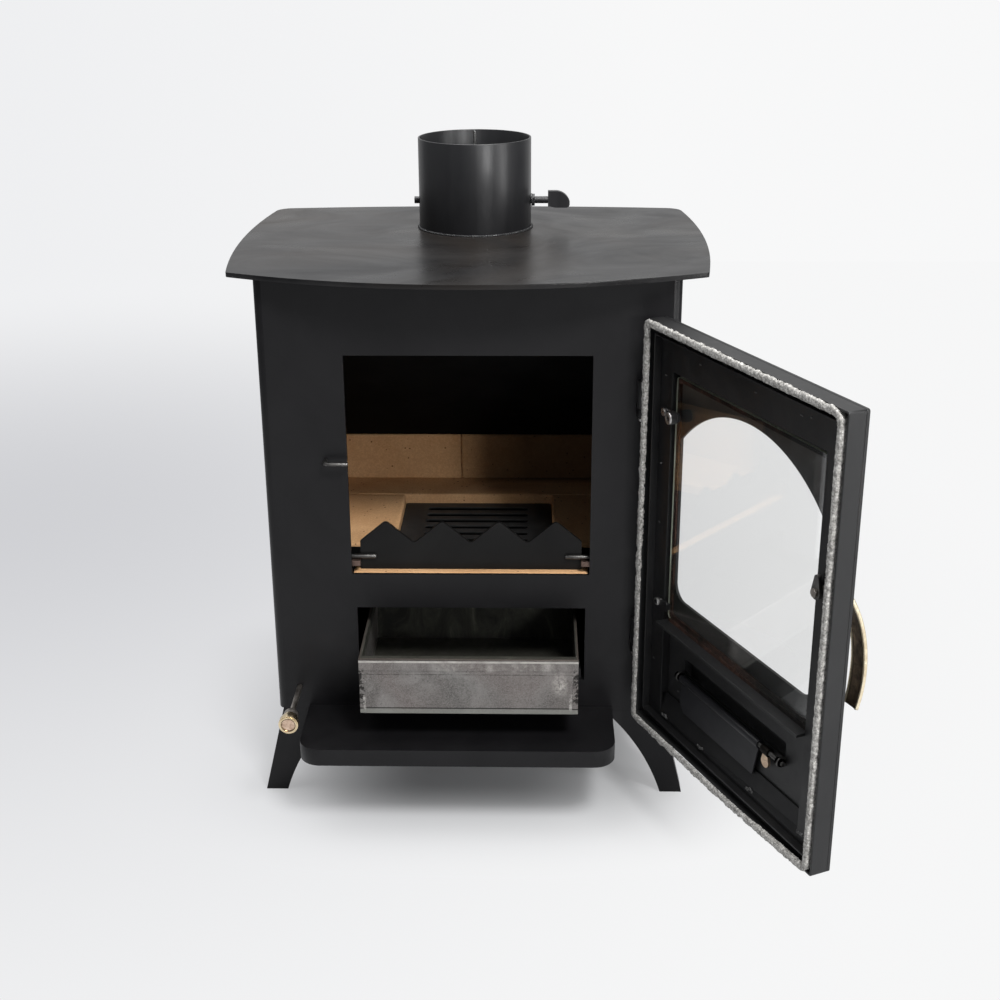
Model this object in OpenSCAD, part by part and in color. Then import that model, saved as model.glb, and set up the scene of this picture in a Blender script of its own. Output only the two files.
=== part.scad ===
// Small multi-fuel stove of folded steel plate, on four sabre legs, with its glazed door open.
// Millimetres. The origin is the centre of the flue collar's mouth, +Z is up and the front
// faces -Y. Heights (_z) are counted from the underside of the body unless a line says otherwise.

/* [Body] */
// Width over the side plates
body_w = 440; // [410:1:470]
// Depth from the front plate's face to the back panel's face
body_d = 335; // [325:1:360]
// Height from the body's underside to the top plate
body_h = 499; // [485:0.5:540]
// Distance from the front plate's face back to the flue's axis
flue_setback = 239; // [220:1:242]
// Thickness of the body's folded plate
body_t = 4; // [3:0.5:5]
// Outer radius of the folds between the front and the sides
corner_r = 9; // [7:0.5:14]

/* [Top plate] */
// Thickness of the top plate
plate_t = 5; // [4:0.5:10]
// Width across the top plate's corners
plate_w = 490; // [480:1:520]
// Overhang of the front corners beyond the front plate
plate_over = 4; // [3:0.5:20]
// Overhang of the back corners behind the back panel
plate_back_over = 14; // [2:0.5:20]
// How far the front edge bows out beyond its corners
plate_bow = 55.5; // [20:0.5:60]
// How far the back edge bows out beyond its corners
plate_back_bow = 15; // [5:0.5:20]
// How far each side edge bows out beyond its corners
plate_side_bow = 13; // [4:0.5:20]
// Corner radius at the front
plate_front_r = 5; // [2:0.5:12]
// Corner radius at the back
plate_back_r = 20; // [4:0.5:25]

/* [Flue collar and damper] */
// Inner diameter of the socket for the flue pipe
socket_d = 125; // [100:1:150]
// Depth of the socket
socket_l = 60; // [40:1:60]
// Ledge that the flue pipe stands on
socket_step = 1.5; // [1:0.25:3]
// Wall of the collar round the socket
collar_t = 2; // [1.5:0.25:4]
// Height of the collar above the top plate
collar_h = 101.5; // [95:0.5:140]
// Height of the damper's spindle above the top plate
damper_z = 30; // [22:0.5:34]
// Diameter of the damper's spindle
spindle_d = 8; // [6:0.5:9]
// Thickness of the damper's disc
damper_t = 3; // [2:0.5:4]
// Gap between the damper's disc and the collar
damper_gap = 3; // [2:0.5:6]
// Length of the damper's knob
damper_knob_l = 25; // [20:1:36]
// Height of the damper's knob
damper_knob_h = 19; // [16:1:26]

/* [Legs] */
// Height of the body's underside above the floor
leg_h = 106.5; // [90:0.5:130]
// Thickness of the leg's plate
leg_t = 4; // [3:0.5:5]
// Width of a leg under the body
leg_top_w = 64; // [54:1:74]
// Depth of a leg under the body
leg_top_d = 52; // [44:1:62]
// Width of a foot
foot_w = 25; // [20:1:32]
// How far a foot stands out beyond the top of its leg
leg_flare = 25.6; // [15:0.2:32]
// How far the top of a leg is set in from the body's side
leg_inset = 5; // [4:0.5:10]
// Radius of the hollow inner edge
leg_arc_r = 244; // [200:1:300]

/* [Openings] */
// Width of the fire opening
fire_w = 260; // [240:1:280]
// Height of the fire opening's lower edge
fire_z = 167.5; // [166:0.5:172]
// Height of the fire opening
fire_h = 248; // [220:1:260]
// Width of the ash opening
ash_w = 252; // [242:1:270]
// Height of the ash opening's lower edge, level with the ash floor
ash_z = 38.7; // [36:0.1:44]
// Height of the ash opening
ash_h = 88.6; // [80:0.1:90]

/* [Firebox] */
// Height of the firebox floor's upper face
floor_z = 135.5; // [133:0.5:138]
// Thickness of the inner floors
floor_t = 4; // [3:0.5:5]
// Thickness of the side bricks
side_brick_t = 26; // [20:1:32]
// Thickness of the back bricks
back_brick_t = 22; // [18:1:30]
// Height of the side and back bricks
brick_h = 88; // [75:1:100]
// Where the joint between the back bricks stands, from the middle
brick_seam_x = -24; // [-60:1:60]
// Height of the bricks round the grate
base_brick_h = 30; // [26:1:34]
// Width of the hole for the grate between these bricks
grate_hole_w = 182; // [170:1:190]
// Depth of the hole for the grate
grate_hole_d = 157.5; // [145:0.5:165]
// Depth of the rear base brick
rear_brick_d = 60.5; // [50:0.5:70]
// Depth of the front brick
front_brick_d = 30; // [22:1:34]
// Height of the front brick
front_brick_h = 32.5; // [28:0.5:33]
// Thickness of the strip that keeps the base bricks back
keep_strip_t = 4; // [3:0.5:5]
// Height of that strip
keep_strip_h = 26; // [18:1:28]
// Thickness of the baffle plate
baffle_t = 5; // [4:0.5:8]
// How far the baffle reaches forward of the back bricks
baffle_reach = 197; // [170:1:215]
// How much the baffle climbs on the way
baffle_rise = 162; // [140:1:180]

/* [Grate] */
// Height of the grate's upper face above the firebox floor
grate_z = 18.5; // [15:0.5:24]
// Thickness of the grate's top
grate_t = 8; // [6:0.5:10]
// Clearance between the grate and the bricks
grate_fit = 0.6; // [0.3:0.1:2]
// Width of a grate slot
slot_w = 10; // [6:0.5:12]
// Length of a grate slot
slot_l = 124; // [100:1:136]
// Distance from slot to slot
slot_pitch = 19.7; // [17:0.1:24]
// Number of slots
slot_n = 7; // [5:1:7]

/* [Fire fence] */
// Length of the fence
fence_w = 243; // [230:1:250]
// Thickness of the fence
fence_t = 4; // [3:0.5:5]
// Height of its peaks
fence_peak = 55; // [50:0.5:70]
// Height of the valleys between the peaks
fence_valley = 32; // [24:0.5:36]
// Distance from peak to peak
fence_pitch = 62; // [58:0.5:64]
// Radius of the peaks
fence_peak_r = 5; // [2:0.5:7]
// Radius of the valleys
fence_valley_r = 5; // [2:0.5:6]
// Diameter of the short rods at its ends
ear_d = 5; // [4:0.5:7]
// Length of these rods
ear_l = 29; // [26:1:34]

/* [Ash pan] */
// Width of the ash pan
pan_w = 234; // [200:1:236]
// Length of the ash pan
pan_l = 180; // [160:1:200]
// Height of the ash pan
pan_h = 65.5; // [55:0.5:75]
// Thickness of its sheet
pan_t = 1.5; // [1:0.25:2]
// Depth of the folded hem along its rim
pan_hem = 13; // [8:0.5:16]
// Depth of the flat rim along its front
pan_rim = 7; // [4:0.5:10]
// Width of the strips folded round onto the ends of its front
pan_strip = 6; // [4:0.5:12]
// How far the pan stands out of the body
pan_out = 79; // [60:1:90]

/* [Ash lip] */
// Distance of the lip's left end from the body's left side
lip_in_left = 35; // [34:1:50]
// Distance of its right end from the body's right side
lip_in_right = 62; // [35:1:80]
// How far the lip stands out of the body
lip_d = 99; // [85:1:110]
// Height of the lip's top above the body's underside
lip_z = 4.5; // [4:0.5:8]
// Depth of the lip's skirt
lip_skirt = 19.5; // [14:0.5:24]
// Radius of its front corners
lip_r = 24; // [16:1:32]
// Thickness of its sheet
lip_t = 4; // [3:0.5:4]

/* [Air control] */
// Distance of the air rod from the body's left side
rod_edge = 25; // [22:1:28]
// Height of the air rod
rod_z = 27.5; // [22:0.5:30]
// Diameter of the air rod
rod_d = 6; // [5:0.5:8]
// How far the rod's knob stands out of the body
rod_out = 87; // [80:1:100]
// Diameter of the knob
knob_d = 21.2; // [16:0.2:22]
// Length of the knob
knob_l = 15; // [10:1:20]
// Diameter of the collar behind the knob
rod_collar_d = 16; // [12:1:18]
// Length of that collar
rod_collar_l = 9; // [6:1:14]
// Thickness of the air slide
slide_t = 3; // [2:0.5:4]

/* [Door] */
// How far the door stands open
door_angle = 115; // [90:1:125]
// Width of the door
door_w = 336; // [330:1:345]
// Height of the door
door_h = 449; // [446:1:470]
// Height of the door's lower edge
door_z = 14.9; // [12:0.1:18]
// Depth of the door from the rope's face to the outer face
door_d = 24; // [24:0.5:26]
// Thickness of the door's face plate
door_t = 3; // [2:0.5:3]
// Thickness of the door's rim
rim_t = 2.3; // [2:0.1:3]
// Radius of the door's corners
door_r = 2.5; // [1:0.5:4]
// How far the rope stands proud of the rim
rope_proud = 3; // [2:0.5:4]
// Thickness of the sealing rope
rope_d = 10; // [9:0.5:10]
// Gap left between the closed door's rope and the body
door_gap = 0.3; // [0.2:0.1:1]
// Distance of the hinge axis from the door's edge
hinge_out = 15.9; // [15:0.1:20]
// Depth of the hinge axis behind the rope's face
hinge_in = 12; // [11:0.5:14]
// Diameter of the hinge pins
pin_d = 10; // [8:0.5:11]
// Height of a hinge knuckle
knuckle_h = 30; // [20:1:40]
// Height of the lower hinge above the door's lower edge
hinge_low = 78.6; // [60:0.1:100]
// Height of the upper hinge above the door's lower edge
hinge_high = 348.6; // [330:0.1:370]

/* [Window] */
// Width of the door's plate between its hinge edge and the window
window_margin_hinge = 47.9; // [47:0.1:56]
// Width of the door's plate between the window and its free edge
window_margin_free = 41.2; // [40:0.1:50]
// Height of the window's lower edge above the door's
window_z = 158.6; // [150:0.1:170]
// Height of the door's plate above the window's arch
window_top_margin = 63.4; // [58:0.1:80]
// Rise of the window's arch
window_rise = 52; // [30:1:55]
// Radius of its lower corners
window_r = 18; // [8:1:30]
// Thickness of the glass
glass_t = 4; // [3:0.5:4]
// How far the glass reaches past the window's sides and its arch
glass_over = 6.2; // [5.5:0.1:6.5]
// How far the glass reaches below the window
glass_drop = 25; // [20:1:28]
// Thickness of the glass seal
seal_t = 2; // [1.5:0.5:2.5]

/* [Inside of the door] */
// Width of the hinge side's inner stile
stile_w = 24; // [20:0.5:24]
// Width of the top inner band
band_w = 33; // [26:1:34]
// Thickness of the inner frame
frame_t = 2.7; // [2:0.1:3]
// Height of the sloped band along the bottom
slope_h = 27.3; // [20:0.1:30]
// Depth of the ledge under the glass
ledge_d = 18.5; // [14:0.5:18.5]
// Thickness of the ledge
ledge_t = 3; // [2:0.5:4]
// Width of the air slot
air_slot_w = 189; // [150:1:200]
// Height of the air slot
air_slot_h = 17; // [10:1:18]
// Height of the air slot's lower edge above the door's
air_slot_z = 79; // [76:0.5:84]
// Distance of the air slot's middle from the door's hinge edge
air_slot_u = 164.5; // [160:0.5:168]
// Depth of the cowl over the slot
cowl_d = 10; // [8:0.5:14]
// How far the cowl hangs below the slot
cowl_drop = 16; // [6:0.5:20]
// Length of the air flap
flap_l = 38; // [30:1:42]
// Width of the air flap
flap_w = 148; // [120:1:160]
// Thickness of the air flap
flap_t = 2; // [1.5:0.5:2.5]
// Diameter of the flap's rod
flap_rod_d = 5; // [4:0.5:6]

/* [Latch and handle] */
// Gap between the edge of the glass and the latch spindle
latch_clear = 1.3; // [1:0.1:3]
// Height of the latch spindle above the door's lower edge
latch_z = 275.6; // [250:0.1:300]
// Diameter of the latch spindle
latch_d = 10; // [8:0.5:10]
// Length of the cam from the spindle's axis to its tip
cam_l = 17; // [15:0.5:18]
// Thickness of the cam
cam_t = 4; // [3:0.5:4]
// Depth of the cam's inner face behind the rope's face
cam_in = 4.5; // [4:0.5:5]
// Diameter of the keeper's rod
keeper_d = 4.5; // [4:0.5:5]
// Length of the keeper's bar
keeper_l = 25; // [20:1:28]
// How far the keeper's bar stands out of the body
keeper_out = 12.2; // [12:0.1:14]
// Height of the keeper's bar above the latch spindle
keeper_rise = 9.2; // [9:0.1:10]
// Width of the handle
handle_w = 21; // [16:1:24]
// Thickness of the handle
handle_t = 4.5; // [3:0.5:6]
// Radius of the handle's bow
handle_r = 150; // [130:1:180]
// Height of the handle from end to end
handle_h = 127; // [100:1:140]
// How far the handle's lower end stands off the door
handle_out = 30; // [26:1:36]

/* [Fasteners and clearances] */
// Gap between a loose piece and its seat
seat_gap = 0.3; // [0.2:0.05:0.5]
// Radial clearance of a turning shaft
run_fit = 0.06; // [0.03:0.01:0.1]
// Radial clearance of a screw or a sliding rod in its hole
hole_fit = 0.3; // [0.2:0.05:0.5]
// Diameter of the screws under the body
screw_d = 8; // [6:1:10]
// Diameter of the small screws in the door
small_screw_d = 4; // [3:0.5:5]

/* [Hidden] */
$fn = 64;
arc_fn = 360;
past = 1; // how far a cutter runs past the face it cuts

black = [0.12, 0.12, 0.13];
brick = [0.72, 0.55, 0.36];
steel = [0.62, 0.61, 0.59];
bare = [0.5, 0.48, 0.46];
brass = [0.72, 0.6, 0.4];
rope_grey = [0.7, 0.69, 0.66];
clear = [0.8, 0.85, 0.84, 0.4];

front_y = -flue_setback;
back_y = front_y + body_d;
inner_w = body_w - 2 * body_t;
inner_front_y = front_y + body_t;
inner_back_y = back_y - body_t;
top_z = body_h + plate_t;
ash_floor_z = ash_z;
brick_z = floor_z;
lip_left = body_w / 2 - lip_in_left;
lip_right = body_w / 2 - lip_in_right;
rod_x = body_w / 2 - rod_edge;
brick_face_y = inner_back_y - back_brick_t;
grate_back_y = brick_face_y - rear_brick_d;
grate_front_y = grate_back_y - grate_hole_d;

// Everything is drawn from the body's underside and set below the collar's mouth.
module from_base() {
    translate([0, 0, -(top_z + collar_h)]) children();
}

// A box of width w round x, from y0 to y1 and from z0 to z1.
module block(w, y0, y1, z0, z1, x = 0) {
    translate([x - w / 2, y0, z0]) cube([w, y1 - y0, z1 - z0]);
}

// A rod along Y.
module rod_y(d, y0, y1) {
    translate([0, y0, 0]) rotate([-90, 0, 0]) cylinder(d = d, h = y1 - y0);
}

// A rod along X.
module rod_x_way(d, x0, x1) {
    translate([x0, 0, 0]) rotate([0, 90, 0]) cylinder(d = d, h = x1 - x0);
}

// A rod along the door's U.
module rod_x_at(u, d, l) {
    translate([u, 0, 0]) rotate([0, 90, 0]) cylinder(d = d, h = l);
}

// A rectangle whose four corners have the radius r.
module round_rect(w, h, r) {
    translate([r, 0]) square([w - 2 * r, h]);
    translate([0, r]) square([w, h - 2 * r]);
    for (x = [r, w - r])
        for (y = [r, h - r])
            translate([x, y]) circle(r);
}

// A round end r1 drawn out along +Y to a smaller round end r2 at the distance d.
module drop(r1, r2, d) {
    a = acos((r1 - r2) / d);
    circle(r1);
    translate([0, d]) circle(r2);
    polygon([
        [r1 * sin(a), r1 * cos(a)],
        [r2 * sin(a), d + r2 * cos(a)],
        [-r2 * sin(a), d + r2 * cos(a)],
        [-r1 * sin(a), r1 * cos(a)]
    ]);
}

// Centre of the circle of radius r through p and q, on the left of the way from p to q.
function arc_centre(p, q, r) =
    let (m = (p + q) / 2, d = q - p, l = norm(d), k = sqrt(r * r - l * l / 4) / l)
    m + k * [-d.y, d.x];

// The point where two circles meet, on the left of the way from a to b for side = 1.
function circles_meet(a, ra, b, rb, side) =
    let (d = norm(b - a), e = (b - a) / d, x = (d * d + ra * ra - rb * rb) / (2 * d))
    a + x * e + side * sqrt(ra * ra - x * x) * [-e.y, e.x];

// ---- Body ----

// Plan of a sheet folded back at both front corners.
module folded_plan(w, y0, y1, r) {
    translate([-w / 2, y0 + r]) square([w, y1 - y0 - r]);
    translate([-w / 2 + r, y0]) square([w - 2 * r, r]);
    for (s = [-1, 1])
        translate([s * (w / 2 - r), y0 + r]) circle(r);
}

module front_cut(w, z, h) {
    block(w, front_y - past, inner_front_y + past, z, z + h);
}

module body_wrap() color(black) from_base() difference() {
    linear_extrude(body_h) difference() {
        folded_plan(body_w, front_y, back_y, corner_r);
        folded_plan(inner_w, inner_front_y, back_y + past, corner_r - body_t);
    }
    front_cut(fire_w, fire_z, fire_h);
    front_cut(ash_w, ash_z, ash_h);
    translate([-rod_x, 0, rod_z]) rod_y(rod_d + 2 * hole_fit, front_y - past, inner_front_y + past);
}

module back_panel() color(black) from_base()
    block(inner_w, inner_back_y, back_y, 0, body_h);

// A floor inside the body, clear of the sheet's folds.
module inner_plate(z, t) {
    translate([0, 0, z]) linear_extrude(t)
        folded_plan(inner_w, inner_front_y, inner_back_y, corner_r);
}

// Air inlets in the bottom plate, and their twins in the slide above it.
inlet_n = 3;
inlet_w = 12;
inlet_l = 60;
inlet_pitch = 26;
slide_w = inlet_n * inlet_pitch + inlet_w;
slide_l = 150;
slide_edge = 8; // from the rod's axis to the slide's edge
slide_x = -rod_x + slide_w / 2 - slide_edge;
slide_y = inner_front_y + 20;
plate_inlet_y = slide_y + 30;
slide_inlet_y = slide_y + 55; // the slide's slots stand half over the plate's

module inlets(x, y, z, t) {
    for (i = [0 : inlet_n - 1])
        block(inlet_w, y, y + inlet_l, z - past, z + t + past, x + (i - (inlet_n - 1) / 2) * inlet_pitch);
}

leg_cx = body_w / 2 - leg_inset;
leg_screw_in = 14; // from the leg's plates to its screws

// Where the screws of a leg stand, from the outer corner of its top.
leg_screws_at = [[leg_top_w * 0.42, leg_screw_in], [leg_t + leg_screw_in, leg_top_d * 0.75]];

module at_legs() {
    for (sx = [-1, 1])
        for (end = [[front_y, 1], [back_y, -1]])
            translate([sx * leg_cx, end[0], 0])
                mirror([sx < 0 ? 0 : 1, 0, 0])
                    mirror([0, end[1] < 0 ? 1 : 0, 0])
                        children();
}

module at_leg_screws() {
    at_legs()
        for (p = leg_screws_at)
            translate([p.x, p.y + leg_t, 0])
                children();
}

lip_tab_w = 40;
lip_tab_d = 34;
lip_tab_out = 20; // how far the tabs reach out under the lip
lip_screw_x = leg_cx - leg_top_w - lip_tab_w / 2 - 4;
lip_screws_at = [-lip_screw_x, lip_screw_x];

module at_lip_screws() {
    for (x = lip_screws_at)
        translate([x, inner_front_y + lip_tab_d / 2, 0])
            children();
}

module bottom_plate() color(black) from_base() difference() {
    inner_plate(0, floor_t);
    inlets(slide_x, plate_inlet_y, 0, floor_t);
    at_leg_screws() translate([0, 0, -past]) cylinder(d = screw_d + 2 * hole_fit, h = floor_t + 2 * past);
    at_lip_screws() translate([0, 0, -past]) cylinder(d = screw_d + 2 * hole_fit, h = floor_t + 2 * past);
}

rail_h = 12;
rail_t = 3;
rail_gap = 2.5; // between the pan's side and the rail

module ash_floor() color(black) from_base() {
    inner_plate(ash_floor_z - floor_t, floor_t);
    // rails that keep the pan straight
    for (s = [-1, 1])
        block(rail_t, inner_front_y, inner_back_y - rail_h, ash_floor_z, ash_floor_z + rail_h,
            s * (pan_w / 2 + rail_gap + rail_t / 2));
}

grate_seat = 16; // width of the floor left under the grate's rim
ash_hole_w = grate_hole_w - 2 * grate_seat;
ash_hole_d = grate_hole_d - 2 * grate_seat;
ash_hole_y = (grate_front_y + grate_back_y) / 2;

module firebox_floor() color(black) from_base() {
    difference() {
        inner_plate(floor_z - floor_t, floor_t);
        block(ash_hole_w, ash_hole_y - ash_hole_d / 2, ash_hole_y + ash_hole_d / 2,
            floor_z - floor_t - past, floor_z + past);
    }
    // upright strip that keeps the base bricks from sliding forward
    block(inner_w - 2 * side_brick_t, grate_front_y - keep_strip_t - seat_gap, grate_front_y - seat_gap,
        floor_z, floor_z + keep_strip_h);
}

// ---- Top plate, collar and damper ----

plate_y0 = front_y - plate_over;
plate_y1 = back_y + plate_back_over;
bow_r = (pow(plate_w / 2, 2) + pow(plate_bow, 2)) / (2 * plate_bow);
bow_c = [0, plate_y0 - plate_bow + bow_r];
back_bow_r = (pow(plate_w / 2, 2) + pow(plate_back_bow, 2)) / (2 * plate_back_bow);
back_bow_c = [0, plate_y1 + plate_back_bow - back_bow_r];
half_l = (plate_y1 - plate_y0) / 2;
side_r = (pow(half_l, 2) + pow(plate_side_bow, 2)) / (2 * plate_side_bow);
side_c = [plate_w / 2 + plate_side_bow - side_r, (plate_y0 + plate_y1) / 2];
front_fillet_c = circles_meet(bow_c, bow_r - plate_front_r, side_c, side_r - plate_front_r, 1);
back_fillet_c = circles_meet(back_bow_c, back_bow_r - plate_back_r, side_c, side_r - plate_back_r, -1);

// What a fillet of radius r takes off the corner between the tangent points p and q.
module corner_waste(c, r, p, q, tip) {
    difference() {
        polygon([c, p, tip, q]);
        translate(c) circle(r);
    }
}

function onto(c, r, p) = c + r * (p - c) / norm(p - c);

module top_outline() difference() {
    intersection() {
        translate(bow_c) circle(bow_r, $fn = arc_fn);
        translate(back_bow_c) circle(back_bow_r, $fn = arc_fn);
        translate(side_c) circle(side_r, $fn = arc_fn);
        translate([-side_c.x, side_c.y]) circle(side_r, $fn = arc_fn);
    }
    for (s = [0, 1])
        mirror([s, 0]) {
            corner_waste(front_fillet_c, plate_front_r,
                onto(bow_c, bow_r, front_fillet_c), onto(side_c, side_r, front_fillet_c),
                [plate_w / 2 + past, plate_y0 - past]);
            corner_waste(back_fillet_c, plate_back_r,
                onto(back_bow_c, back_bow_r, back_fillet_c), onto(side_c, side_r, back_fillet_c),
                [plate_w / 2 + past, plate_y1 + past]);
        }
}

throat_d = socket_d - 2 * socket_step;
collar_d = socket_d + 2 * collar_t;

module top_plate() color(black) from_base() translate([0, 0, body_h]) difference() {
    linear_extrude(plate_t) top_outline();
    translate([0, 0, -past]) cylinder(d = throat_d, h = plate_t + 2 * past);
}

module flue_collar() color(black) from_base() translate([0, 0, top_z]) difference() {
    cylinder(d = collar_d, h = collar_h);
    translate([0, 0, collar_h - socket_l]) cylinder(d = socket_d, h = socket_l + past);
    translate([0, 0, -past]) cylinder(d = throat_d, h = collar_h);
    translate([0, 0, damper_z]) rod_x_way(spindle_d + 2 * run_fit, -collar_d, collar_d);
}

module at_damper() {
    from_base() translate([0, 0, top_z + damper_z]) children();
}

disc_r = throat_d / 2 - damper_gap;
flat_in = 1.5; // depth of the flat that the disc is fixed to
spindle_left = -collar_d / 2 - 5.5;
spindle_right = collar_d / 2 + 19.5; // where the knob starts
nut_h = 3;

module damper_spindle() color(black) at_damper() difference() {
    rod_x_way(spindle_d, spindle_left, spindle_right);
    block(2 * disc_r, -spindle_d, spindle_d, spindle_d / 2 - flat_in, spindle_d);
}

module damper_plate() color(black) at_damper()
    translate([0, 0, spindle_d / 2 - flat_in]) cylinder(r = disc_r, h = damper_t);

module damper_nut() color(bare) at_damper() difference() {
    union() {
        rotate([0, 90, 0]) translate([0, 0, collar_d / 2 + seat_gap]) cylinder(d = spindle_d + 7, h = 1);
        rotate([0, 90, 0]) translate([0, 0, collar_d / 2 + seat_gap + 1])
            cylinder(d = spindle_d + 6, h = nut_h, $fn = 6);
    }
    rod_x_way(spindle_d + 2 * run_fit, 0, spindle_right + past);
}

knob_t = 8;

// Leaf-shaped knob: flat back, a top that falls in one round sweep,
// and an underside that slants up to the back.
knob_flat = damper_knob_l * 0.35; // where its top starts to fall
knob_sweep_r = damper_knob_l * 0.68;
knob_nose_r = 4;

module damper_knob() color(black) at_damper()
    translate([spindle_right, knob_t / 2, -damper_knob_h * 0.45]) rotate([90, 0, 0]) linear_extrude(knob_t)
        difference() {
            intersection() {
                translate([-knob_nose_r, 0])
                    round_rect(damper_knob_l + knob_nose_r, damper_knob_h + knob_nose_r, knob_nose_r);
                union() {
                    square([knob_flat, damper_knob_h]);
                    translate([knob_flat, damper_knob_h - knob_sweep_r]) circle(knob_sweep_r);
                }
                square([damper_knob_l, damper_knob_h]);
            }
            polygon([[-past, -past], [knob_flat, -past], [knob_flat, 0], [-past, damper_knob_h * 0.1]]);
        }

// ---- Legs ----

// Face of a leg: the foot stands out by flare, and the inner edge is hollow.
module leg_face(top_w, flare) difference() {
    polygon([
        [0, 0],
        [top_w, 0],
        [top_w, -leg_t * 2],
        [foot_w - flare, -leg_h],
        [-flare, -leg_h]
    ]);
    translate(arc_centre([top_w, -past * 2], [foot_w - flare, -leg_h], leg_arc_r))
        circle(leg_arc_r, $fn = arc_fn);
}

// A leg with its outer top corner at the origin, drawn for the front left.
module leg() color(black) {
    translate([0, leg_t, 0]) rotate([90, 0, 0]) linear_extrude(leg_t) leg_face(leg_top_w, leg_flare);
    // the side flange leans out with the foot
    intersection() {
        rotate([90, 0, 90]) translate([0, 0, -leg_flare]) linear_extrude(leg_flare + leg_t)
            leg_face(leg_top_d, 0);
        translate([0, leg_top_d, 0]) rotate([90, 0, 0]) linear_extrude(leg_top_d)
            polygon([[0, 0], [leg_t, 0], [leg_t - leg_flare, -leg_h], [-leg_flare, -leg_h]]);
    }
    difference() {
        translate([0, 0, -leg_t]) cube([leg_top_w, leg_top_d, leg_t]);
        for (p = leg_screws_at)
            translate([p.x, p.y + leg_t, -leg_t - past])
                cylinder(d = screw_d + 2 * hole_fit, h = leg_t + 2 * past);
    }
}

module place_leg(sx, rear) {
    from_base()
        translate([sx * leg_cx, rear ? back_y : front_y, 0])
            mirror([sx > 0 ? 1 : 0, 0, 0])
                mirror([0, rear ? 1 : 0, 0])
                    leg();
}

module leg_front_left() place_leg(-1, false);
module leg_front_right() place_leg(1, false);
module leg_rear_left() place_leg(-1, true);
module leg_rear_right() place_leg(1, true);

// Hexagon screw put in from below, with its tip inside the bottom plate.
module under_screw(t) {
    translate([0, 0, -t]) cylinder(d = screw_d, h = t + floor_t - past);
    translate([0, 0, -t - screw_d * 0.6]) cylinder(d = screw_d * 1.8, h = screw_d * 0.6, $fn = 6);
}

module leg_screws() color(steel) from_base() at_leg_screws() under_screw(leg_t);

// ---- Ash lip ----

module lip_plan(in) {
    w = lip_left + lip_right - 2 * in;
    y0 = front_y - lip_d + in;
    r = lip_r - in;
    translate([(lip_right - lip_left) / 2, 0]) {
        translate([-w / 2, y0 + r]) square([w, front_y - y0 - r]);
        translate([-w / 2 + r, y0]) square([w - 2 * r, r]);
        for (s = [-1, 1])
            translate([s * (w / 2 - r), y0 + r]) circle(r);
    }
}

module ash_lip() color(black) from_base() {
    difference() {
        translate([0, 0, lip_z - lip_skirt]) linear_extrude(lip_skirt) lip_plan(0);
        translate([0, 0, lip_z - lip_skirt - past]) linear_extrude(lip_skirt - lip_t + past) {
            lip_plan(lip_t);
            translate([-lip_left + lip_t, front_y - past])
                square([lip_left + lip_right - 2 * lip_t, 2 * past]);
        }
    }
    // tabs that reach back under the bottom plate
    for (x = lip_screws_at)
        difference() {
            block(lip_tab_w, front_y - lip_tab_out, inner_front_y + lip_tab_d, -lip_t, 0, x);
            translate([x, inner_front_y + lip_tab_d / 2, -lip_t - past])
                cylinder(d = screw_d + 2 * hole_fit, h = lip_t + 2 * past);
        }
    for (x = lip_screws_at)
        block(lip_tab_w, front_y - lip_tab_out, front_y, -past / 2, lip_z - lip_t / 2, x);
}

module lip_screws() color(steel) from_base() at_lip_screws() under_screw(lip_t);

// ---- Bricks, grate and baffle ----

module brick_block(w, y0, y1, h, x) {
    color(brick) from_base() block(w, y0, y1, brick_z, brick_z + h, x);
}

side_brick_x = inner_w / 2 - side_brick_t / 2;
back_brick_edge = inner_w / 2;

module side_brick_left() brick_block(side_brick_t, grate_front_y, brick_face_y, brick_h, -side_brick_x);
module side_brick_right() brick_block(side_brick_t, grate_front_y, brick_face_y, brick_h, side_brick_x);
module back_brick_left()
    brick_block(back_brick_edge + brick_seam_x, brick_face_y, inner_back_y, brick_h,
        (brick_seam_x - back_brick_edge) / 2);
module back_brick_right()
    brick_block(back_brick_edge - brick_seam_x - seat_gap, brick_face_y, inner_back_y, brick_h,
        (brick_seam_x + seat_gap + back_brick_edge) / 2);

base_in_w = inner_w - 2 * side_brick_t;
base_side_w = (base_in_w - grate_hole_w) / 2;
base_side_x = grate_hole_w / 2 + base_side_w / 2;

module base_brick_left()
    brick_block(base_side_w, grate_front_y, grate_back_y - seat_gap, base_brick_h, -base_side_x);
module base_brick_right()
    brick_block(base_side_w, grate_front_y, grate_back_y - seat_gap, base_brick_h, base_side_x);
module base_brick_rear()
    brick_block(base_in_w, grate_back_y, brick_face_y, base_brick_h, 0);
module front_brick()
    brick_block(fire_w - 2, inner_front_y, inner_front_y + front_brick_d, front_brick_h, 0);

grate_w = grate_hole_w - 2 * grate_fit;
grate_d = grate_hole_d - 2 * grate_fit;
grate_rim = 6;

module grate() color(black) from_base() translate([0, ash_hole_y, brick_z]) difference() {
    translate([-grate_w / 2, -grate_d / 2, 0]) linear_extrude(grate_z) round_rect(grate_w, grate_d, 3);
    // hollow under the top, inside the rim that stands on the floor
    translate([-grate_w / 2 + grate_rim, -grate_d / 2 + grate_rim, -past])
        cube([grate_w - 2 * grate_rim, grate_d - 2 * grate_rim, grate_z - grate_t + past]);
    for (i = [0 : slot_n - 1])
        translate([-slot_l / 2, (i - (slot_n - 1) / 2) * slot_pitch - slot_w / 2, 0])
            linear_extrude(grate_z + past) round_rect(slot_l, slot_w, slot_w / 2 - 0.5);
}

baffle_w = inner_w - 6;
baffle_seat = 2; // how far back on the bricks its lower edge stands
baffle_l = norm([baffle_reach, baffle_rise]);
baffle_tilt = atan(baffle_rise / baffle_reach);

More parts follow.
